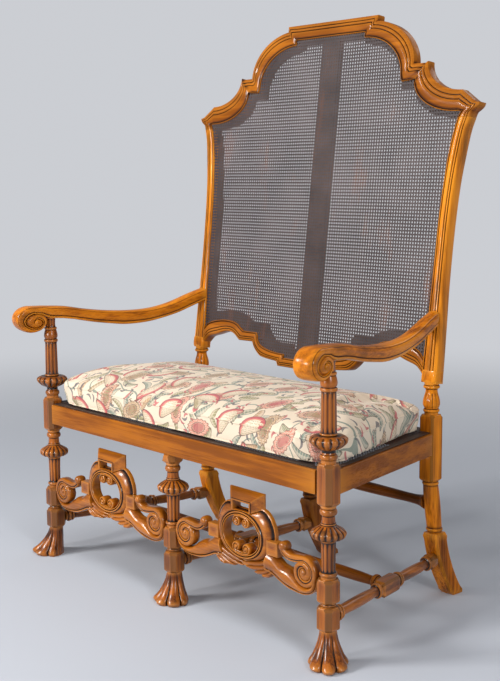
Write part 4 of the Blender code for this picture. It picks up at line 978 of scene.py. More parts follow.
def spun(along, radii, steps):
    # Circles (place along the axis, r cos a, r sin a), without the two points at the ends
    a, wide = around(steps), radii[:, None]
    along = np.repeat(along[:, None], steps, axis=1)
    return np.stack([along, wide * np.cos(a), wide * np.sin(a)], axis=2)[1:-1]


def button(radius, bulge):
    # A round boss that faces both ways along X
    t = np.linspace(0, math.pi, 13)
    return closedShell(spun(-bulge * np.cos(t), radius * np.sin(t), 24))


def arms():
    # A slab whose two edges sweep along the side view and roll up into the scroll
    length, eye = arm["length"], np.array(arm["eye"])
    upper, lower = (np.array([(y * length, arm["axis"] + h * arm["unit"]) for y, h in arm[edge]])
                    for edge in ("upper", "lower"))
    for line in (upper, lower):
        line[0, 0] += (line[0, 1] - arm["rearTop"]) * math.tan(back["rake"])
    curl = spiral(arm["scroll"], np.linspace(0, 2, 121))
    upperRun = evenly(smoothLine(np.concatenate([upper, [arm["upperEnd"]]])), 60)
    lowerRun = evenly(smoothLine(lower), 54)
    neck = smoothLine([tuple(lowerRun[-1])] + arm["neck"], 3)
    lowerRun = np.concatenate([lowerRun[:-1], evenly(neck, 7)])
    topLine, lowLine = joined(upperRun, 6, curl), joined(lowerRun, 6, rolledEdge(curl, eye, 60))
    splay = (plan["legSpacing"] - plan["postSpacing"]) / plan["seatDepth"]
    for word, side in (("left", -1), ("right", 1)):
        def place(flat, across):
            # The scroll turns until it stands square to the arm's own run,
            # and is a little flat in front of its eye
            y = flat[..., 0]
            y = np.where(y < eye[0], eye[0] + (y - eye[0]) * arm["flat"], y)
            half = arm["halfFront"] + (arm["halfRear"] - arm["halfFront"]) * np.clip(y / length, 0, 1)
            half = half * (1 + arm["swell"] * np.clip((arm["swellFrom"] - y) / arm["swellOver"], 0, 1))
            turn = np.clip((arm["turnFrom"] - y) / arm["turnOver"], 0, 1)
            squared = y + side * across * half * splay * turn
            return np.stack([side * sideLine(y) + across * half, squared, flat[..., 1]], axis=-1)

        forms = [rolledSlab(topLine, lowLine, arm["section"], place)]
        for face in (-arm["buttonOut"], arm["buttonOut"]):
            forms.append(moved(button(*arm["button"]), (side * sideLine(eye[0]) + face,
                                                        eye[0] + side * face * splay, eye[1])))
        build("arm_%s_carved" % word, forms, armWood, "arm_" + word, sharp=30)


arms()
print("scene: arms")


# Carved front stretchers: across from the middle of each, height above the floor

carved = {
    "centre": 0.2635, "face": -0.016, "halfDepth": 0.0125, "hole": ((0, 0.2315), (0.0604, 0.0455)),
    "band": (0.0700, 0.0555),
    # Angle, across, height of the ring's outer edge
    "ringEdge": [(90, 0.0, 0.2898), (78, 0.024, 0.2898), (66, 0.042, 0.2960), (54, 0.0585, 0.3005),
                 (44, 0.0720, 0.2960), (33, 0.0865, 0.2825), (20, 0.0962, 0.264), (8, 0.0998, 0.249),
                 (-5, 0.0998, 0.234), (-20, 0.0970, 0.214), (-38, 0.0850, 0.194), (-58, 0.0600, 0.179),
                 (-76, 0.0300, 0.173), (-90, 0.0, 0.172)],
    # Share of the way out from the hole to the band's edge at 1 and on to the outer edge at 2, height
    "ringSection": [(0, -0.0265), (0, -0.0060), (0.04, -0.0022), (0.14, -0.0004), (0.26, -0.0004),
                    (0.36, -0.0020), (0.42, -0.0046), (0.50, -0.0020), (0.62, -0.0004), (0.82, -0.0004),
                    (0.96, -0.0022), (1.02, -0.0056), (1.09, -0.0034), (1.20, -0.0036), (1.40, -0.0060),
                    (1.60, -0.0098), (1.78, -0.0145), (1.86, -0.0185), (1.90, -0.0170), (1.97, -0.0180),
                    (2.0, -0.0215), (2.0, -0.0265)],
    # Half width, top, foot
    "crownOuter": (0.058, 0.334, 0.2990), "crownInner": (0.027, 0.3086, 0.2860),
    "crownSection": [(0, -0.0265), (0, -0.0020), (0.05, -0.0002), (0.15, -0.0002), (0.18, -0.0024),
                     (0.24, -0.0022), (0.60, -0.0110), (0.93, -0.0195), (1.0, -0.0225), (1.0, -0.0265)],
    "boardUpper": [(0, 0.180), (0.03, 0.184), (0.06, 0.190), (0.085, 0.200), (0.098, 0.200)],
    "boardLower": [(0, 0.1560), (0.020, 0.1520), (0.045, 0.1525), (0.066, 0.1500), (0.090, 0.1560)],
    "boardSection": [(0, -0.0255), (0, -0.0180), (0.05, -0.0150), (0.90, -0.0150), (1, -0.0190),
                     (1, -0.0255)],
    "bandInner": [(0.0820, 0.2110), (0.0980, 0.2070), (0.1130, 0.1980), (0.1280, 0.1890), (0.1480, 0.1850),
                  (0.1660, 0.1750), (0.1800, 0.1640), (0.2000, 0.1580), (0.2190, 0.1640), (0.2290, 0.1800)],
    "bandOuter": [(0.0700, 0.1640), (0.0860, 0.1620), (0.1020, 0.1590), (0.1230, 0.1500), (0.1480, 0.1415),
                  (0.1750, 0.1385), (0.2000, 0.1395), (0.2220, 0.1475), (0.2355, 0.1630), (0.2400, 0.1850)],
    "bandSection": [(0, -0.0265), (0, -0.0185), (0.03, -0.0160), (0.08, -0.0122), (0.16, -0.0078),
                    (0.26, -0.0042), (0.38, -0.0018), (0.50, -0.0012), (0.64, -0.0022), (0.78, -0.0048),
                    (0.855, -0.0074), (0.87, -0.0086), (0.89, -0.0064), (0.95, -0.0064), (1.0, -0.0100),
                    (1.0, -0.0265)],
    "block": [(0.082, 0.2040), (0.118, 0.2040), (0.118, 0.2370), (0.082, 0.2370)],
    "blockRings": [(1.0, -0.0260), (1.0, -0.0052), (0.93, -0.0036), (0.50, -0.0036), (0.10, -0.0036)],
    # Turns, half length, half height, centre across, centre height
    "volute": [(0.0, 0.0345, 0.0365, 0.2045, 0.1920), (0.25, 0.0345, 0.0340, 0.2045, 0.1920),
               (0.5, 0.0345, 0.0330, 0.2030, 0.1915), (0.75, 0.0310, 0.0300, 0.2010, 0.1915),
               (1.0, 0.0245, 0.0225, 0.2020, 0.1920), (1.25, 0.0215, 0.0200, 0.2025, 0.1920),
               (1.5, 0.0180, 0.0180, 0.2025, 0.1920), (1.75, 0.0130, 0.0130, 0.2025, 0.1920),
               (2.0, 0.0090, 0.0090, 0.2025, 0.1920)],
    "voluteEye": (0.2025, 0.1920),
    "voluteLead": ([(0.136, 0.2380), (0.146, 0.2290), (0.160, 0.2245), (0.182, 0.2262), (0.200, 0.2285)],
                   [(0.130, 0.2220), (0.142, 0.2130), (0.158, 0.2080), (0.180, 0.2095), (0.196, 0.2135)]),
    # Share of the half depth, share of the thickness
    "voluteSection": [(-0.70, 0.0), (0.70, 0.0), (0.86, 0.06), (0.90, 0.18), (0.80, 0.27), (0.82, 0.33),
                      (0.97, 0.42), (1.0, 0.60), (0.95, 0.80), (0.80, 0.93), (0.55, 1.0), (0.0, 1.0)],
    # Small curls inside the ring: eye, start angle, sense, the two edges of the stem; then turns and radius
    "curls": [((0.0145, 0.2630), 90, -1, ([(0.001, 0.2790), (0.006, 0.2785), (0.012, 0.2772)],
                                          [(0.000, 0.2720), (0.005, 0.2715), (0.011, 0.2700)])),
              ((0.0165, 0.2005), -90, 1, ([(0.001, 0.1845), (0.007, 0.1850), (0.014, 0.1862)],
                                          [(0.000, 0.1915), (0.006, 0.1920), (0.012, 0.1930)]))],
    "curlRadii": [(0.0, 0.0140), (0.5, 0.0132), (1.0, 0.0078), (1.5, 0.0058), (2.0, 0.0036)],
    # Round bars: across, height, radius, half depth
    "bars": [(0.1345, 0.2345, 0.0122, 0.0150), (0.2025, 0.1920, 0.0088, 0.0148),
             (0.0145, 0.2630, 0.0048, 0.0148), (0.0165, 0.2005, 0.0048, 0.0148)],
    "barPower": 2.6,
    "reeds": [((0.090, 0.1880), (0.052, 0.1730), (0.000, 0.1650)),
              ((0.092, 0.1790), (0.056, 0.1640), (0.006, 0.1565)),
              ((0.092, 0.1700), (0.066, 0.1570), (0.034, 0.1500)),
              ((0.094, 0.1625), (0.080, 0.1530), (0.058, 0.1480))],
    "reedWidths": (0.008, 0.0118, 0.0124, 0.0110, 0.0035), "reedCrown": 0.0085, "reedBase": -0.0150,
    "reedRoot": 0.008, "reedSteps": 30,
}


def reed(path, place):
    # A round strand along a path: height = base + crown sqrt(1 - s^2), s across its width,
    # less high where it is thin
    steps, base = carved["reedSteps"], carved["reedBase"]
    line = evenly(smoothLine(path), steps)
    way = np.gradient(line, axis=0)
    way /= np.linalg.norm(way, axis=1)[:, None]
    side = np.stack([-way[:, 1], way[:, 0]], axis=1)
    widths = carved["reedWidths"]
    wide = np.interp(np.linspace(0, 1, steps), np.linspace(0, 1, len(widths)), widths)
    s = np.sin(np.linspace(-math.pi / 2, math.pi / 2, 15))
    arch = np.sqrt(np.maximum(1 - s ** 2, 0))
    rise = np.minimum(wide / wide.max() * 1.3, 1)[:, None]
    height = base + carved["reedCrown"] * arch[None] * rise
    flat = line[:, None] + side[:, None] * (s[None] * wide[:, None] / 2)[:, :, None]
    flat = np.concatenate([flat, flat[:, [-1, 0]]], axis=1)
    height = np.concatenate([height, np.full((steps, 2), base - carved["reedRoot"])], axis=1)
    return closedShell(place(flat, height))


def bandBetween(outer, inner, section, place):
    # point(u, v) = inner(u) + share(v) (outer(u) - inner(u)), at height(v)
    share, height = np.array(section).T
    flat = inner[:, None] + (outer - inner)[:, None] * share[None, :, None]
    return closedShell(place(flat, np.repeat(height[None], len(outer), axis=0)))


def volute(knots, eye, place, start, sense, lead, steps=96):
    # A slab rolled up: its outer edge is the spiral, its inner edge the same spiral one turn later
    curl = spiral(np.array(knots), np.linspace(0, 2, steps * 2 + 1), start, sense)
    outerLead, innerLead = (evenly(smoothLine(line), 24) for line in lead)
    outer, inner = joined(outerLead, 4, curl), joined(innerLead, 4, rolledEdge(curl, eye, steps))
    return rolledSlab(outer, inner, carved["voluteSection"], place)


def bar(radius, half):
    # A short bar along Y with rounded ends: |y/half|^p + (r/radius)^p = 1
    t = np.linspace(0, math.pi, 17)
    power = 2 / carved["barPower"]
    y, r = -np.sign(np.cos(t)) * np.abs(np.cos(t)) ** power * half, radius * np.sin(t) ** power
    return closedShell(spun(y, r, 28)[..., [1, 0, 2]])


def stepped(half, top, foot):
    # Half of a square headed outline, from the middle of its top to the foot of its side
    return np.concatenate([evenly([(0, top), (half, top)], 14), evenly([(half, top), (half, foot)], 10)])


def carvedRing(place):
    # Rows go round the oval hole; each runs out over a moulded band and the carved slope to the rim
    edge = np.array(carved["ringEdge"])
    t = np.linspace(90, -90, 73)
    rim = np.stack([np.interp(-t, -edge[:, 0], edge[:, i]) for i in (1, 2)], axis=1)
    rim[1:-1] = (rim[:-2] + rim[1:-1] + rim[2:]) / 3
    centre, radii = carved["hole"]
    paths = [ellipse(centre, radii, 90, -90, 73), ellipse(centre, carved["band"], 90, -90, 73), rim]
    hole, band, rim = (np.concatenate([path, (path * flipX)[::-1][1:]]) for path in paths)
    share, height = np.array(carved["ringSection"]).T
    flat = (hole[:, None] + (band - hole)[:, None] * np.minimum(share, 1)[None, :, None]
            + (rim - band)[:, None] * np.maximum(share - 1, 0)[None, :, None])
    return shell(place(flat, np.repeat(height[None], len(flat), axis=0)), wraps=True)


def carvedBlock(place):
    # A raised block with eased edges: rings of the outline at a share of its size, each at its height
    outline = np.array(carved["block"])
    middle = outline.mean(0)
    return closedShell(np.array([place(middle + (outline - middle) * share, np.full(len(outline), height))
                                 for share, height in carved["blockRings"]]))


def carvedHalf(place):
    # Swelling band, framed block, big volute, reeds and small curls of one half
    def deep(flat, across):
        return place(flat, (across - 1) * carved["halfDepth"])

    inner, outer = (evenly(smoothLine(carved[key]), 64) for key in ("bandInner", "bandOuter"))
    forms = [bandBetween(outer, inner, carved["bandSection"], place), carvedBlock(place),
             volute(carved["volute"], carved["voluteEye"], deep, 90, -1, carved["voluteLead"])]
    forms += [reed(path, place) for path in carved["reeds"]]
    for (x, z), start, sense, stem in carved["curls"]:
        knots = [(turns, radius, radius, x, z) for turns, radius in carved["curlRadii"]]
        forms.append(volute(knots, (x, z), deep, start, sense, stem, steps=40))
    return forms


def carvedStretchers():
    # Two pierced stretchers, each a ring, a crown and a board with a mirrored pair of halves
    for word, sign in (("left", -1), ("right", 1)):
        middle = sign * carved["centre"]

        def facing(mirror):
            # (across, height above the floor, towards the front) to the frame
            return lambda flat, height: np.stack([middle + mirror * flat[..., 0], carved["face"] - height,
                                                  flat[..., 1]], axis=-1)

        crown = [stepped(*carved[key]) for key in ("crownOuter", "crownInner")]
        board = [evenly(smoothLine(carved[key]), 30) for key in ("boardUpper", "boardLower")]
        forms = [carvedRing(facing(1))]
        for edges, section in ((crown, carved["crownSection"]), (board, carved["boardSection"])):
            forms.append(bandBetween(*fromBothSides(*edges), section, facing(1)))
        deepLine = carved["face"] + carved["halfDepth"]
        for mirror in (-1, 1):
            forms += carvedHalf(facing(mirror))
            forms += [moved(bar(radius, half), (middle + mirror * x, deepLine, z))
                      for x, z, radius, half in carved["bars"]]
        build("carved_stretcher_%s_scrolled" % word, forms, carvedWood, "carved_stretcher_" + word, sharp=32)


carvedStretchers()
print("scene: carved stretchers")


# Turned stretchers and seat rails

lowBars = {
    "height": 0.104, "blockHalf": 0.0225, "kickAt": 0.017,
    "rearBlock": 0.030, "rearHalf": 0.017, "rearCut": 0.0060, "rearNeck": 0.0135,
    "midBlock": 0.0375, "midHalf": 0.018, "midCut": 0.0045, "midNeck": 0.0140,
}
rearBars = {
    "height": 0.247, "begin": 0.0198, "swell": [(0.120, 0.0130), 0.0138],
    "end": [(0, 0.0185), (0.004, 0.0178), (0.012, 0.0150), (0.030, 0.0124), (0.060, 0.0118)],
}
rail = {
    "width": 0.024, "ease": 0.0030, "bottom": 0.0016, "frontLine": -0.0065, "rearLine": 0.464,
    "outside": 0.005,
}


def halfSpindle(foot, top):
    # From one block to the next: collar, ring, swelling bar, two rings, collar, as shares of the way down
    def at(share):
        return top - share * (top - foot)

    return [
        straight((at(0.0), 0.0145), (at(0.015), 0.0147)), bead(at(0.02), at(0.075), 0.0140, 0.0182),
        flow((at(0.08), 0.0125), (at(0.12), 0.0112), (at(0.30), 0.0128), (at(0.55), 0.0134),
             (at(0.80), 0.0122), (at(0.86), 0.0120)),
        bead(at(0.87), at(0.905), 0.0135, 0.0168, 7), bead(at(0.91), at(0.965), 0.0140, 0.0182),
        straight((at(0.975), 0.0147), (at(1.0), 0.0145)),
    ]


def mirroredEnd(runs, span):
    # The same runs at the other end of a bar
    return [np.stack([span - run[::-1, 0], run[::-1, 1]], axis=1) for run in runs[::-1]]


def laidAlong(form, start, slope):
    # (x, y, z) of an upright piece to (across + x + slope z, deep + z, high - y)
    x, y, z = form["points"].T
    points = np.stack([start[0] + x + slope * z, start[1] + z, start[2] - y], axis=1)
    return {**form, "points": points}


def laidAcross(form, start, deep, height):
    # (x, y, z) of an upright piece to (start + z, deep + y, height - x)
    x, y, z = form["points"].T
    return {**form, "points": np.stack([start + z, deep + y, height - x], axis=1)}


def lowStretchers():
    # Three bars from front to rear, each with a block at its middle and its rear end,
    # and two bars across between them
    start, gap = plan["nearEnd"], plan["gap"]
    rearAxis = plan["seatDepth"] + rearKick(lowBars["height"])
    rearFace = plan["seatDepth"] + rearKick(lowBars["height"] + lowBars["kickAt"]) - lowBars["blockHalf"]
    length = rearFace - gap - start
    blockEnd, middle = length - lowBars["rearBlock"], length / 2
    midTop, midFoot = middle + lowBars["midBlock"], middle - lowBars["midBlock"]
    for name, front, rear in (("side_stretcher_left", -plan["legSpacing"], -plan["postSpacing"]),
                              ("middle_stretcher", 0, 0),
                              ("side_stretcher_right", plan["legSpacing"], plan["postSpacing"])):
        slope = (rear - front) / rearAxis
        forms = [
            legBlock(length, blockEnd, lowBars["rearHalf"], lowBars["rearCut"], lowBars["rearNeck"]),
            turned(halfSpindle(midTop, blockEnd), 48),
            legBlock(midTop, midFoot, lowBars["midHalf"], lowBars["midCut"], lowBars["midNeck"]),
            turned(halfSpindle(0.0, midFoot), 48),
        ]
        forms = [laidAlong(form, (front + slope * start, start, lowBars["height"]), slope) for form in forms]
        build(name + "_turned", forms, legWoods["y"], name)
    deepLine = start + middle
    slope = (plan["postSpacing"] - plan["legSpacing"]) / rearAxis
    begin = lowBars["midHalf"] + gap
    span = plan["legSpacing"] + slope * deepLine - (1 + abs(slope)) * lowBars["midHalf"] - gap - begin
    runs = halfSpindle(span / 2, span)[:3]
    for name, left in (("cross_stretcher_right", begin), ("cross_stretcher_left", -begin - span)):
        form = turned(runs + mirroredEnd(runs, span), 48)
        build(name + "_turned", [laidAcross(form, left, deepLine, lowBars["height"])], darkAndShadedWoods["x"], name)


def rearStretchers():
    # Two plain swelling bars between the rear legs
    height, begin = rearBars["height"], rearBars["begin"]
    deepLine = plan["seatDepth"] + rearKick(height)
    span = plan["postSpacing"] - 2 * begin
    end, ((x, r), middle) = flow(*rearBars["end"]), rearBars["swell"]
    edge, thin = rearBars["end"][-1]
    swell = flow((edge, thin), (x, r), (span / 2, middle), (span - x, r), (span - edge, thin))
    for name, left in (("rear_stretcher_right", begin), ("rear_stretcher_left", -begin - span)):
        form = turned([end, swell[1:-1]] + mirroredEnd([end], span), 40)
        build(name + "_turned", [laidAcross(form, left, deepLine, height)], darkAndShadedWoods["x"], name)


def railSection():
    # Points round a rail's cross section: arcs of 90 degrees at the corners, the upper ones wider
    t = np.radians(np.linspace(0, 90, 6))
    corner = np.stack([np.cos(t), np.sin(t)], axis=1)
    a, b, ease, bottom = rail["width"] / 2, plan["railTall"] / 2, rail["ease"], rail["bottom"]
    upper = np.array([a - ease, b - ease]) + corner * ease
    left = np.array([-a + ease, b - ease]) + corner[::-1] * ease * flipX
    lower = np.array([-a + bottom, -b + bottom]) - corner * bottom
    right = np.array([a - bottom, -b + bottom]) + corner[::-1] * bottom * -flipX
    return np.concatenate([upper, left, lower, right])


def rails():
    # The section carried straight along each rail
    z, section = plan["railTop"] - plan["railTall"] / 2, railSection()
    y, count = section[:, 0], len(section)
    for name, line, reach in (("front_seat_rail", rail["frontLine"], plan["frontReach"]),
                              ("rear_seat_rail", rail["rearLine"], plan["rearReach"])):
        rows = [np.stack([np.full(count, x), line + y, z + section[:, 1]], axis=1)
                for x in np.linspace(-reach, reach, 24)]
        build(name + "_eased", [closedShell(np.array(rows))], woods["x"], name)
    for name, side in (("side_seat_rail_left", -1), ("side_seat_rail_right", 1)):
        rows = [np.stack([side * (sideLine(deepLine) + rail["outside"] + y), np.full(count, deepLine),
                          z + section[:, 1]], axis=1)
                for deepLine in np.linspace(plan["nearEnd"], plan["farEnd"], 18)]
        build(name + "_eased", [closedShell(np.array(rows))], woods["y"], name)


lowStretchers()
rearStretchers()
rails()
print("scene: stretchers and rails")


# Loose cushion

cushionShape = {
    "front": -0.007, "back": 0.435, "sideInset": 0.005, "frontCorner": 0.086, "backCorner": 0.030,
    "low": 0.4314, "edge": 0.0525, "crown": 0.044, "crownPower": 2.4, "hollow": 0.0035, "spine": 0.34,
    "start": 0.0030, "cap": 0.0085, "voxel": 0.0052, "rimSteps": 240, "frames": 20, "fill": 0.7,
    # Piping: its radius, how far it stands out, above the upper seam and above the base
    "piping": 0.0022, "pipingOut": 0.25, "upperSeam": 0.001, "lowerSeam": 0.0050, "pipingSteps": 360,
    # From how far outside the seam is looked for, and how far in; half length of the cloth's middle line
    "seekFrom": 0.05, "seekLength": 0.12, "clothSpine": 0.40,
}
stuffing = {
    "use_pressure": True, "uniform_pressure_force": 4.0, "quality": 6, "mass": 0.35, "tension_stiffness": 12,
    "compression_stiffness": 12, "shear_stiffness": 6, "bending_stiffness": 0.12, "shrink_min": -0.020,
}


def cushionRim(count, shrink=0.0):
    # The outline seen from above, anticlockwise from the middle of the front, with round corners
    c = cushionShape
    corners = []
    for x, y, radius, start in (
            (sideLine(c["front"]) - c["sideInset"], c["front"], c["frontCorner"], -90),
            (sideLine(c["back"]) - c["sideInset"], c["back"], c["backCorner"], 0)):
        centre = (x - radius, y + (radius if start < 0 else -radius))
        corners.append(ellipse(centre, (radius - shrink, radius - shrink), start, start + 90, 24))
    right = np.concatenate([[(0, c["front"] + shrink)], corners[0], corners[1], [(0, c["back"] - shrink)]])
    left = (right * flipX)[::-1][1:-1]
    return evenly(np.concatenate([right, left, right[:1]]), count + 1)[:-1]


def cushionStart():
    # rings(v) from the middle of the base out, up the boxing and in over the crown:
    # crown height = crown (1 - w^power) where w is the share of the way out
    c = cushionShape
    rim = cushionRim(c["rimSteps"], c["start"])
    middle = (c["front"] + c["back"]) / 2
    spine = np.stack([np.clip(rim[:, 0], -c["spine"], c["spine"]), np.full(len(rim), middle)], axis=1)
    top = c["low"] + c["edge"]
    rows = [(w, c["low"] + c["hollow"] * (1 - w ** 4)) for w in np.linspace(0, 1, 14)]
    rows += [(1, c["low"] + c["edge"] * h) for h in (0.18, 0.36, 0.54, 0.72, 0.88)]
    rows += [(w, top + c["crown"] * (1 - w ** c["crownPower"])) for w in np.linspace(1, 0, 26)]
    return shell(np.array([atHeight(spine + (rim - spine) * w, z) for w, z in rows]), wraps=True)


def evaluatedMesh(piece):
    # The mesh that the piece's modifiers give now
    return bpy.data.meshes.new_from_object(piece.evaluated_get(bpy.context.evaluated_depsgraph_get()))


def simulated(piece):
    # Inflate a finely remeshed copy as cloth, then let no point end further than the cap from its start
    c = cushionShape
    fine = piece.modifiers.new("fine", "REMESH")
    fine.mode, fine.voxel_size = "VOXEL", c["voxel"]
    mesh = evaluatedMesh(piece)
    piece.modifiers.clear()
    piece.data = mesh
    before = vertexValues(mesh, "co")
    cloth = piece.modifiers.new("stuffing", "CLOTH")
    for key, value in stuffing.items():
        setattr(cloth.settings, key, value)
    cloth.settings.effector_weights.gravity = 0
    cloth.collision_settings.use_collision = False
    for step in range(1, c["frames"] + 1):
        bpy.context.scene.frame_set(step)
    shape = evaluatedMesh(piece)
    move = vertexValues(shape, "co") - before
    bpy.data.meshes.remove(shape)
    piece.modifiers.clear()
    bpy.context.scene.frame_set(1)
    length = np.linalg.norm(move, axis=1)[:, None]
    after = before + move * np.minimum(1, c["cap"] / np.maximum(length, 1e-9))
    after[:, 2] = np.maximum(after[:, 2], c["low"])
    mesh.vertices.foreach_set("co", after.ravel())
    mesh.update()


def clothPlaces(mesh):
    # Each point's place on the cut cloth: its plan, pushed outwards by how far it hangs below the seam
    c = cushionShape
    places = vertexValues(mesh, "co")
    middle = (c["front"] + c["back"]) / 2 + legLine
    half = c["clothSpine"]
    spine = np.stack([np.clip(places[:, 0], -half, half), np.full(len(places), middle)], axis=1)
    away = places[:, :2] - spine
    away /= np.maximum(np.linalg.norm(away, axis=1), 1e-6)[:, None]
    drop = np.maximum(c["low"] + c["edge"] - places[:, 2], 0)[:, None]
    keepOnPoints(mesh, "cloth", atHeight(places[:, :2] + away * drop, 0.0), "FLOAT_VECTOR", "vector")
    # The place as shares of the piece's own box, by which the drawing drifts a little
    least, most = places.min(0), places.max(0)
    keepOnPoints(mesh, "drift", (places - least) / (most - least), "FLOAT_VECTOR", "vector")


def seamCord(height, target):
    # A cord laid round the cushion at one height, pulled on to its surface: a circle swept along the seam
    c = cushionShape
    radius, seek = c["piping"], c["seekLength"]
    line = cushionRim(c["pipingSteps"]) + np.array([0, legLine])
    way = np.roll(line, -1, axis=0) - np.roll(line, 1, axis=0)
    way /= np.linalg.norm(way, axis=1)[:, None]
    out = np.stack([way[:, 1], -way[:, 0]], axis=1)
    centres = []
    for point, direction in zip(line, out):
        start = Vector((*(point + direction * c["seekFrom"]), height))
        hit, place, _, _ = target.ray_cast(start, Vector((*-direction, 0)), distance=seek)
        centres.append(tuple(place) if hit else (*point, height))
    centres = np.array(centres)
    for _ in range(2):
        centres = (centres + np.roll(centres, 1, axis=0) + np.roll(centres, -1, axis=0)) / 3
    a = around(8)
    outwards = (np.cos(a) + c["pipingOut"]) * radius
    ring = (centres[:, None] + atHeight(out, 0.0)[:, None] * outwards[None, :, None]
            + np.array([0, 0, 1]) * (np.sin(a) * radius)[None, :, None])
    ring = np.concatenate([ring, ring[:1]])
    return shell(ring - np.array([0, legLine, 0]), wraps=True)


fabric = {
    "ground": (0.825, 0.695, 0.54), "shade": (0.71, 0.585, 0.44), "rose": (0.46, 0.040, 0.070),
    "pink": (0.64, 0.21, 0.15), "teal": (0.105, 0.185, 0.155), "olive": (0.215, 0.205, 0.070),
    "tan": (0.43, 0.245, 0.115), "navy": (0.05, 0.055, 0.085), "line": (0.085, 0.040, 0.032),
}
# Motifs: cells per metre, shift of the cells, share of them filled, half length and half width in cells
motif = {
    "pod": {"scale": 10.2, "shift": (1.37, 0.42, 0), "chance": 0.58, "long": 0.44, "wide": 0.20, "bend": 0.55,
            "loose": 0.60},
    "blossom": {"scale": 10.2, "shift": (6.21, 3.77, 0), "chance": 0.70, "long": 0.42, "wide": 0.22,
                "loose": 0.60, "lean": 2.2},
    # Scale, shift, chance, half width, bend, two tones
    "leaves": [(13.0, (0.3, 0.8, 0), 0.80, 0.115, 0.95, "teal", "olive"),
               (15.0, (4.3, 2.6, 0), 0.70, 0.17, 0.55, "olive", "tan"),
               (17.0, (7.7, 5.2, 0), 0.66, 0.15, 0.80, "olive", "teal")],
    "sprigs": [(30, (2.2, 9.1, 0), 0.42, "navy"), (34, (5.1, 1.3, 0), 0.34, "rose")],
    "leafLong": 0.42, "sprig": {"long": 0.34, "wide": 0.10, "bend": 1.6, "loose": 0.8},
    "speckleScale": 210, "speckleSize": 0.30, "wobble": 0.022, "stemScale": 4.6, "stemLevels": (0.475, 0.525),
}


def voronoi(spread, loose, output):
    # One output of a flat cell texture: distance, colour or place
    values = {"Vector": spread, "Scale": 1.0, "Randomness": loose}
    return spread.node("ShaderNodeTexVoronoi", {"voronoi_dimensions": "2D"}, values, output)


def motifs(cloth, scale, shift, chance, long, wide, bend=0.0, loose=0.55, lean=6.283):
    # Voronoi cells hold one motif each, turned its own way: edge^2 = (a/long)^2 + ((b + bend a^2)/wide)^2
    spread = cloth.stretched(scale, shift)
    colour, spot = (voronoi(spread, loose, output) for output in (1, 2))
    local = spread.vector("SUBTRACT", {1: spot})
    x, y = (local.node("ShaderNodeSeparateXYZ", {}, {0: local}, axis) for axis in (0, 1))
    first, second, third = (colour.node("ShaderNodeSeparateColor", {}, {0: colour}, part)
                            for part in (0, 1, 2))
    turn = second * lean
    sine, cosine = turn.maths("SINE"), turn.maths("COSINE")
    a = x * cosine + y * sine
    b = y * cosine - x * sine + a * a * bend
    edge = ((a / long) ** 2 + (b / wide) ** 2).maths("SQRT")
    keep = third.below(chance)
    return {"a": a, "b": b, "edge": edge, "first": first, "keep": keep, "inside": edge.below(1.0) * keep,
            "angle": (b / wide).maths("ARCTAN2", a / long)}


def paintPods(cloth, colour, tint, speckle):
    # Plump pods: dotted body, a rose crescent down one side and a tuft at the end
    pod = motifs(cloth, **motif["pod"])
    body = (pod["edge"].span(0.2, 0.9) * 0.45).mix(tint["ground"], tint["tan"])
    body = (speckle * 0.65).mix(body, tint["olive"])
    crescent = ((pod["a"] / 0.46) ** 2 + ((pod["b"] + 0.085) / 0.20) ** 2).maths("SQRT")
    body = crescent.above(0.86).mix(body, tint["pink"])
    body = crescent.above(1.02).mix(body, tint["rose"])
    tuft = pod["a"].above(0.27) * (pod["b"] * 60).maths("SINE").span(-0.2, 0.2)
    body = tuft.mix(body, tint["rose"])
    colour = (pod["inside"] * 0.92).mix(colour, body)
    return (pod["edge"].between(0.93, 1.0) * pod["keep"] * 0.8).mix(colour, tint["line"])


def paintBlossoms(cloth, colour, tint, speckle):
    # Lens shaped blossoms with a scalloped edge, in faded rose and tan
    bloom = motifs(cloth, **motif["blossom"])
    edge = bloom["edge"] * (1.10 - 0.13 * (8 * bloom["angle"]).maths("COSINE").maths("ABSOLUTE"))
    petal = bloom["first"].span(0.50, 0.75).mix(tint["pink"], tint["tan"])
    petal = (speckle * 0.7).mix(petal, tint["ground"])
    petal = edge.between(0.55, 0.62).mix(petal, tint["line"])
    middle = edge.below(0.5)
    centre = bloom["first"].span(0.2, 0.5).mix(tint["rose"], tint["olive"])
    petal = (middle * 0.85).mix(petal, centre)
    petal = (middle * speckle * 0.8).mix(petal, tint["rose"])
    colour = (edge.below(1.0) * bloom["keep"] * 0.85).mix(colour, petal)
    return (edge.between(0.92, 1.0) * bloom["keep"] * 0.7).mix(colour, tint["line"])


def paintLeaves(cloth, colour, tint):
    # Bent leaves in two tones, then small dark sprigs
    for scale, shift, chance, wide, bend, one, two in motif["leaves"]:
        leaf = motifs(cloth, scale, shift, chance, motif["leafLong"], wide, bend)
        body = leaf["first"].span(0.35, 0.6).mix(tint[one], tint[two])
        body = (leaf["b"].above(0.0) * 0.42).mix(body, tint["ground"])
        body = ((leaf["a"] * 60).maths("SINE").above(0.6) * 0.5).mix(body, tint["shade"])
        colour = (leaf["inside"] * 0.88).mix(colour, body)
        colour = (leaf["edge"].between(0.84, 1.0) * leaf["keep"] * 0.6).mix(colour, tint["line"])
    for scale, shift, chance, tone in motif["sprigs"]:
        sprig = motifs(cloth, scale, shift, chance, **motif["sprig"])
        colour = (sprig["inside"] * 0.8).mix(colour, tint[tone])
    return colour


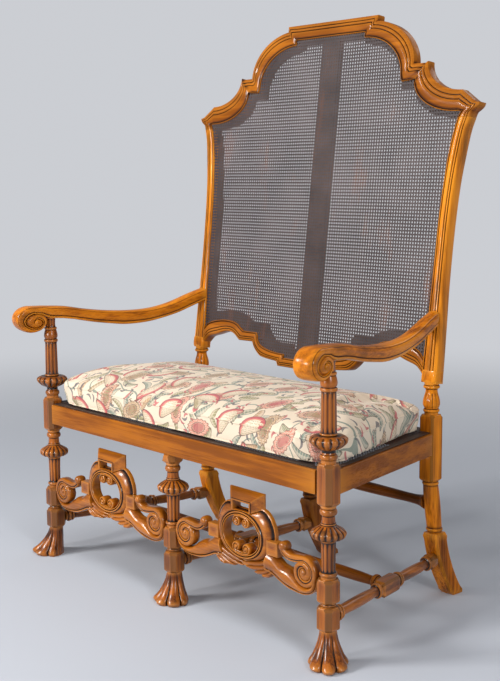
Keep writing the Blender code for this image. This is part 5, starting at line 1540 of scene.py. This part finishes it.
def floralCloth():
    # Slubbed ground, winding stems, leaves, blossoms and pods, all a little faded;
    # threads and rumples as bump
    material, shader, place = newMaterial("floral_cloth", {"Sheen Weight": 0.20, "Sheen Roughness": 0.5,
                                                           "Specular IOR Level": 0.15})
    base = place.attribute("cloth", 1)
    drift = place.attribute("drift", 1)
    wobble = drift.noise(1.0, 3.0, output=1).vector("SUBTRACT", {1: (0.5, 0.5, 0.5)})
    cloth = base.vector("ADD", {1: wobble.vector("SCALE", {"Scale": motif["wobble"]})})
    tint = {name: opaque(value) for name, value in fabric.items()}
    slub = base.stretched(900).noise(1.0, 2.0, 0.6)
    colour = slub.span(0.35, 0.7).mix(tint["shade"], tint["ground"])
    # Stems: thin bands where a smooth field crosses set levels
    field = cloth.stretched(motif["stemScale"], (3.1, 1.7, 0)).noise(1.0, 1.0, 0.4)
    colour = ((field * 6).maths("FRACT").between(*motif["stemLevels"]) * 0.8).mix(colour, tint["teal"])
    speckle = voronoi(cloth.stretched(motif["speckleScale"]), 0.35, 0).below(motif["speckleSize"])
    colour = paintLeaves(cloth, colour, tint)
    colour = paintBlossoms(cloth, colour, tint, speckle)
    colour = paintPods(cloth, colour, tint, speckle)
    faded = base.stretched(60).noise(1.0, 3.0, 0.6) * 0.16
    colour = faded.mix(colour, tint["ground"])
    warp = base.stretched((1500, 500, 500)).noise(1.0, 1.0, 0.5)
    weft = base.stretched((500, 1500, 500)).noise(1.0, 1.0, 0.5)
    rumple = base.stretched(30).noise(1.0, 3.0, 0.5)
    bump = ((warp + weft) * 0.4 + rumple * 2.0).bump(0.5, 0.0014)
    connect(shader, {"Base Color": colour, "Roughness": 0.82 + 0.1 * slub, "Normal": bump})
    return material


def cushion():
    # The stuffed cover and its two lines of piping
    c, material = cushionShape, floralCloth()
    piece = build("seat_cushion_stuffed", [cushionStart()], material, "seat_cushion", "cushion",
                  weld=0.0001)
    simulated(piece)
    mesh = piece.data
    mesh.shade_smooth()
    soft = piece.modifiers.new("soft", "SUBSURF")
    soft.levels = soft.render_levels = 1
    mesh.materials.clear()
    mesh.materials.append(material)
    clothPlaces(mesh)
    bpy.context.view_layer.update()
    heights = (c["low"] + c["edge"] + c["upperSeam"], c["low"] + c["lowerSeam"])
    seams = [seamCord(height, piece) for height in heights]
    piping = build("seat_cushion_piping", seams, material, "seat_cushion", "cushion")
    clothPlaces(piping.data)
    print("scene: cushion has", len(mesh.polygons), "faces")


cushion()


# The CAD pieces that stay as they are, by the direction of their grain; the others are replaced above

insideGrain = {
    "x": ["corner_block_front_left", "corner_block_front_right", "corner_block_rear_left",
          "corner_block_rear_right", "back_liner_top", "back_liner_bottom"],
    "y": ["centre_seat_rail"],
    "z": ["back_liner_left", "back_liner_right", "back_muntin"],
}


def paintNodes():
    # Inner wood on the pieces that show, walnut or cane on the rest
    inner = {name: insides[axis] for axis, names in insideGrain.items() for name in names}
    for name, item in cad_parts.items():
        for slot in item.material_slots:
            slot.material = inner.get(name, wovenCane if "cane" in name else woods["z"])


paintNodes()


# Floor, light and camera

studio = {
    "backdrop": (0.600, 0.615, 0.650), "floorDark": (0.50, 0.525, 0.58), "floorLight": (0.53, 0.555, 0.61),
    "reach": 40, "fadeFrom": 1.2, "fadeTo": 4.5, "sky": (0.95, 0.97, 1.0), "skyStrength": 0.28,
}
# Place, aim, size, power, colour; above is left out of the reflections
lamps = {
    "key": ((-1.6, -3.1, 2.3), (0, 0, 0.7), (0.85, 0.85), 106, (1.0, 0.985, 0.96)),
    "front": ((-0.2, -3.7, 1.3), (0, 0, 0.6), (0.4, 0.4), 50, (1.0, 0.99, 0.97)),
    "above": ((0.3, -1.0, 3.4), (0, 0, 0.6), (1.2, 1.2), 30, (1, 1, 1)),
    "side": ((3.6, -1.2, 1.9), (0, 0, 0.7), (0.6, 1.0), 42, (0.98, 0.99, 1.0)),
    "behind": ((0.5, 3.2, 3.2), (0, 0.2, 0.8), (2.4, 1.6), 19, (1, 1, 1)),
}
view = {
    "place": (2.2155, -1.7630, 1.0455), "yaw": 47.62, "pitch": 7.92, "roll": -0.386, "lens": 62.5,
    "sensor": 36,
}


def added(name, data):
    # A new object in the scene
    item = bpy.data.objects.new(name, data)
    bpy.context.scene.collection.objects.link(item)
    return item


def blended(tree, factor, first, second, output):
    # Two shaders mixed by a factor and sent to the output
    mixed = tree.nodes.new("ShaderNodeMixShader")
    for number, socket in enumerate((factor, first, second)):
        tree.links.new(socket, mixed.inputs[number])
    tree.links.new(mixed.outputs[0], tree.nodes[output].inputs["Surface"])


def stageSet():
    # Near the settee the floor is a plain surface; further out it turns into the backdrop's own colour
    floor, reach = bpy.data.meshes.new("floor"), studio["reach"]
    corners = [(-reach, -reach, 0), (reach, -reach, 0), (reach, reach, 0), (-reach, reach, 0)]
    floor.from_pydata(corners, [], [(0, 1, 2, 3)])
    material, shader, place = newMaterial("pale_floor", {"Roughness": 0.8, "Specular IOR Level": 0.1})
    tone = place.noise(0.7, 2.0, 0.5).span(0.2, 0.8)
    connect(shader, {"Base Color": tone.mix(opaque(studio["floorDark"]), opaque(studio["floorLight"]))})
    away = place.vector("LENGTH", output=1)
    fade = away.node("ShaderNodeMapRange", {"interpolation_type": "SMOOTHSTEP"},
                     {0: away, 1: studio["fadeFrom"], 2: studio["fadeTo"], 3: 0.0, 4: 1.0})
    glow = place.node("ShaderNodeEmission", {}, {"Color": opaque(studio["backdrop"])})
    blended(material.node_tree, fade.socket, shader.outputs[0], glow.socket, "Material Output")
    floor.materials.append(material)
    added("floor", floor)


def lighting():
    # Soft lamps, a dim sky that lights the piece, and the backdrop that the camera sees
    for name, (place, aim, size, power, colour) in lamps.items():
        data = bpy.data.lights.new(name, "AREA")
        data.shape = "RECTANGLE"
        data.size, data.size_y = size
        data.energy = power
        data.color = colour
        item = added(name, data)
        item.visible_glossy = name != "above"
        item.location = place
        item.rotation_euler = (Vector(aim) - Vector(place)).to_track_quat("-Z", "Y").to_euler()
    world = bpy.data.worlds.new("studio")
    bpy.context.scene.world = world
    world.use_nodes = True
    tree = world.node_tree
    light, seen = tree.nodes["Background"], tree.nodes.new("ShaderNodeBackground")
    light.inputs["Color"].default_value = opaque(studio["sky"])
    light.inputs["Strength"].default_value = studio["skyStrength"]
    seen.inputs["Color"].default_value = opaque(studio["backdrop"])
    path = tree.nodes.new("ShaderNodeLightPath")
    blended(tree, path.outputs["Is Camera Ray"], light.outputs[0], seen.outputs[0], "World Output")


def camera():
    # The view of the photo, solved from its edges
    yaw, pitch, roll = (math.radians(view[key]) for key in ("yaw", "pitch", "roll"))
    ahead = Vector((-math.sin(yaw) * math.cos(pitch), math.cos(yaw) * math.cos(pitch), -math.sin(pitch)))
    data = bpy.data.cameras.new("camera")
    data.lens, data.sensor_fit = view["lens"], "VERTICAL"
    data.sensor_height = data.sensor_width = view["sensor"]
    matrix = ahead.to_track_quat("-Z", "Y").to_matrix().to_4x4() @ Matrix.Rotation(roll, 4, "Z")
    matrix.translation = Vector(view["place"]) + Vector((0, legLine, 0))
    item = added("camera", data)
    item.matrix_world = matrix
    bpy.context.scene.camera = item


stageSet()
lighting()
camera()
bpy.context.scene.view_settings.view_transform = "Standard"
print("scene: stage, light and camera")
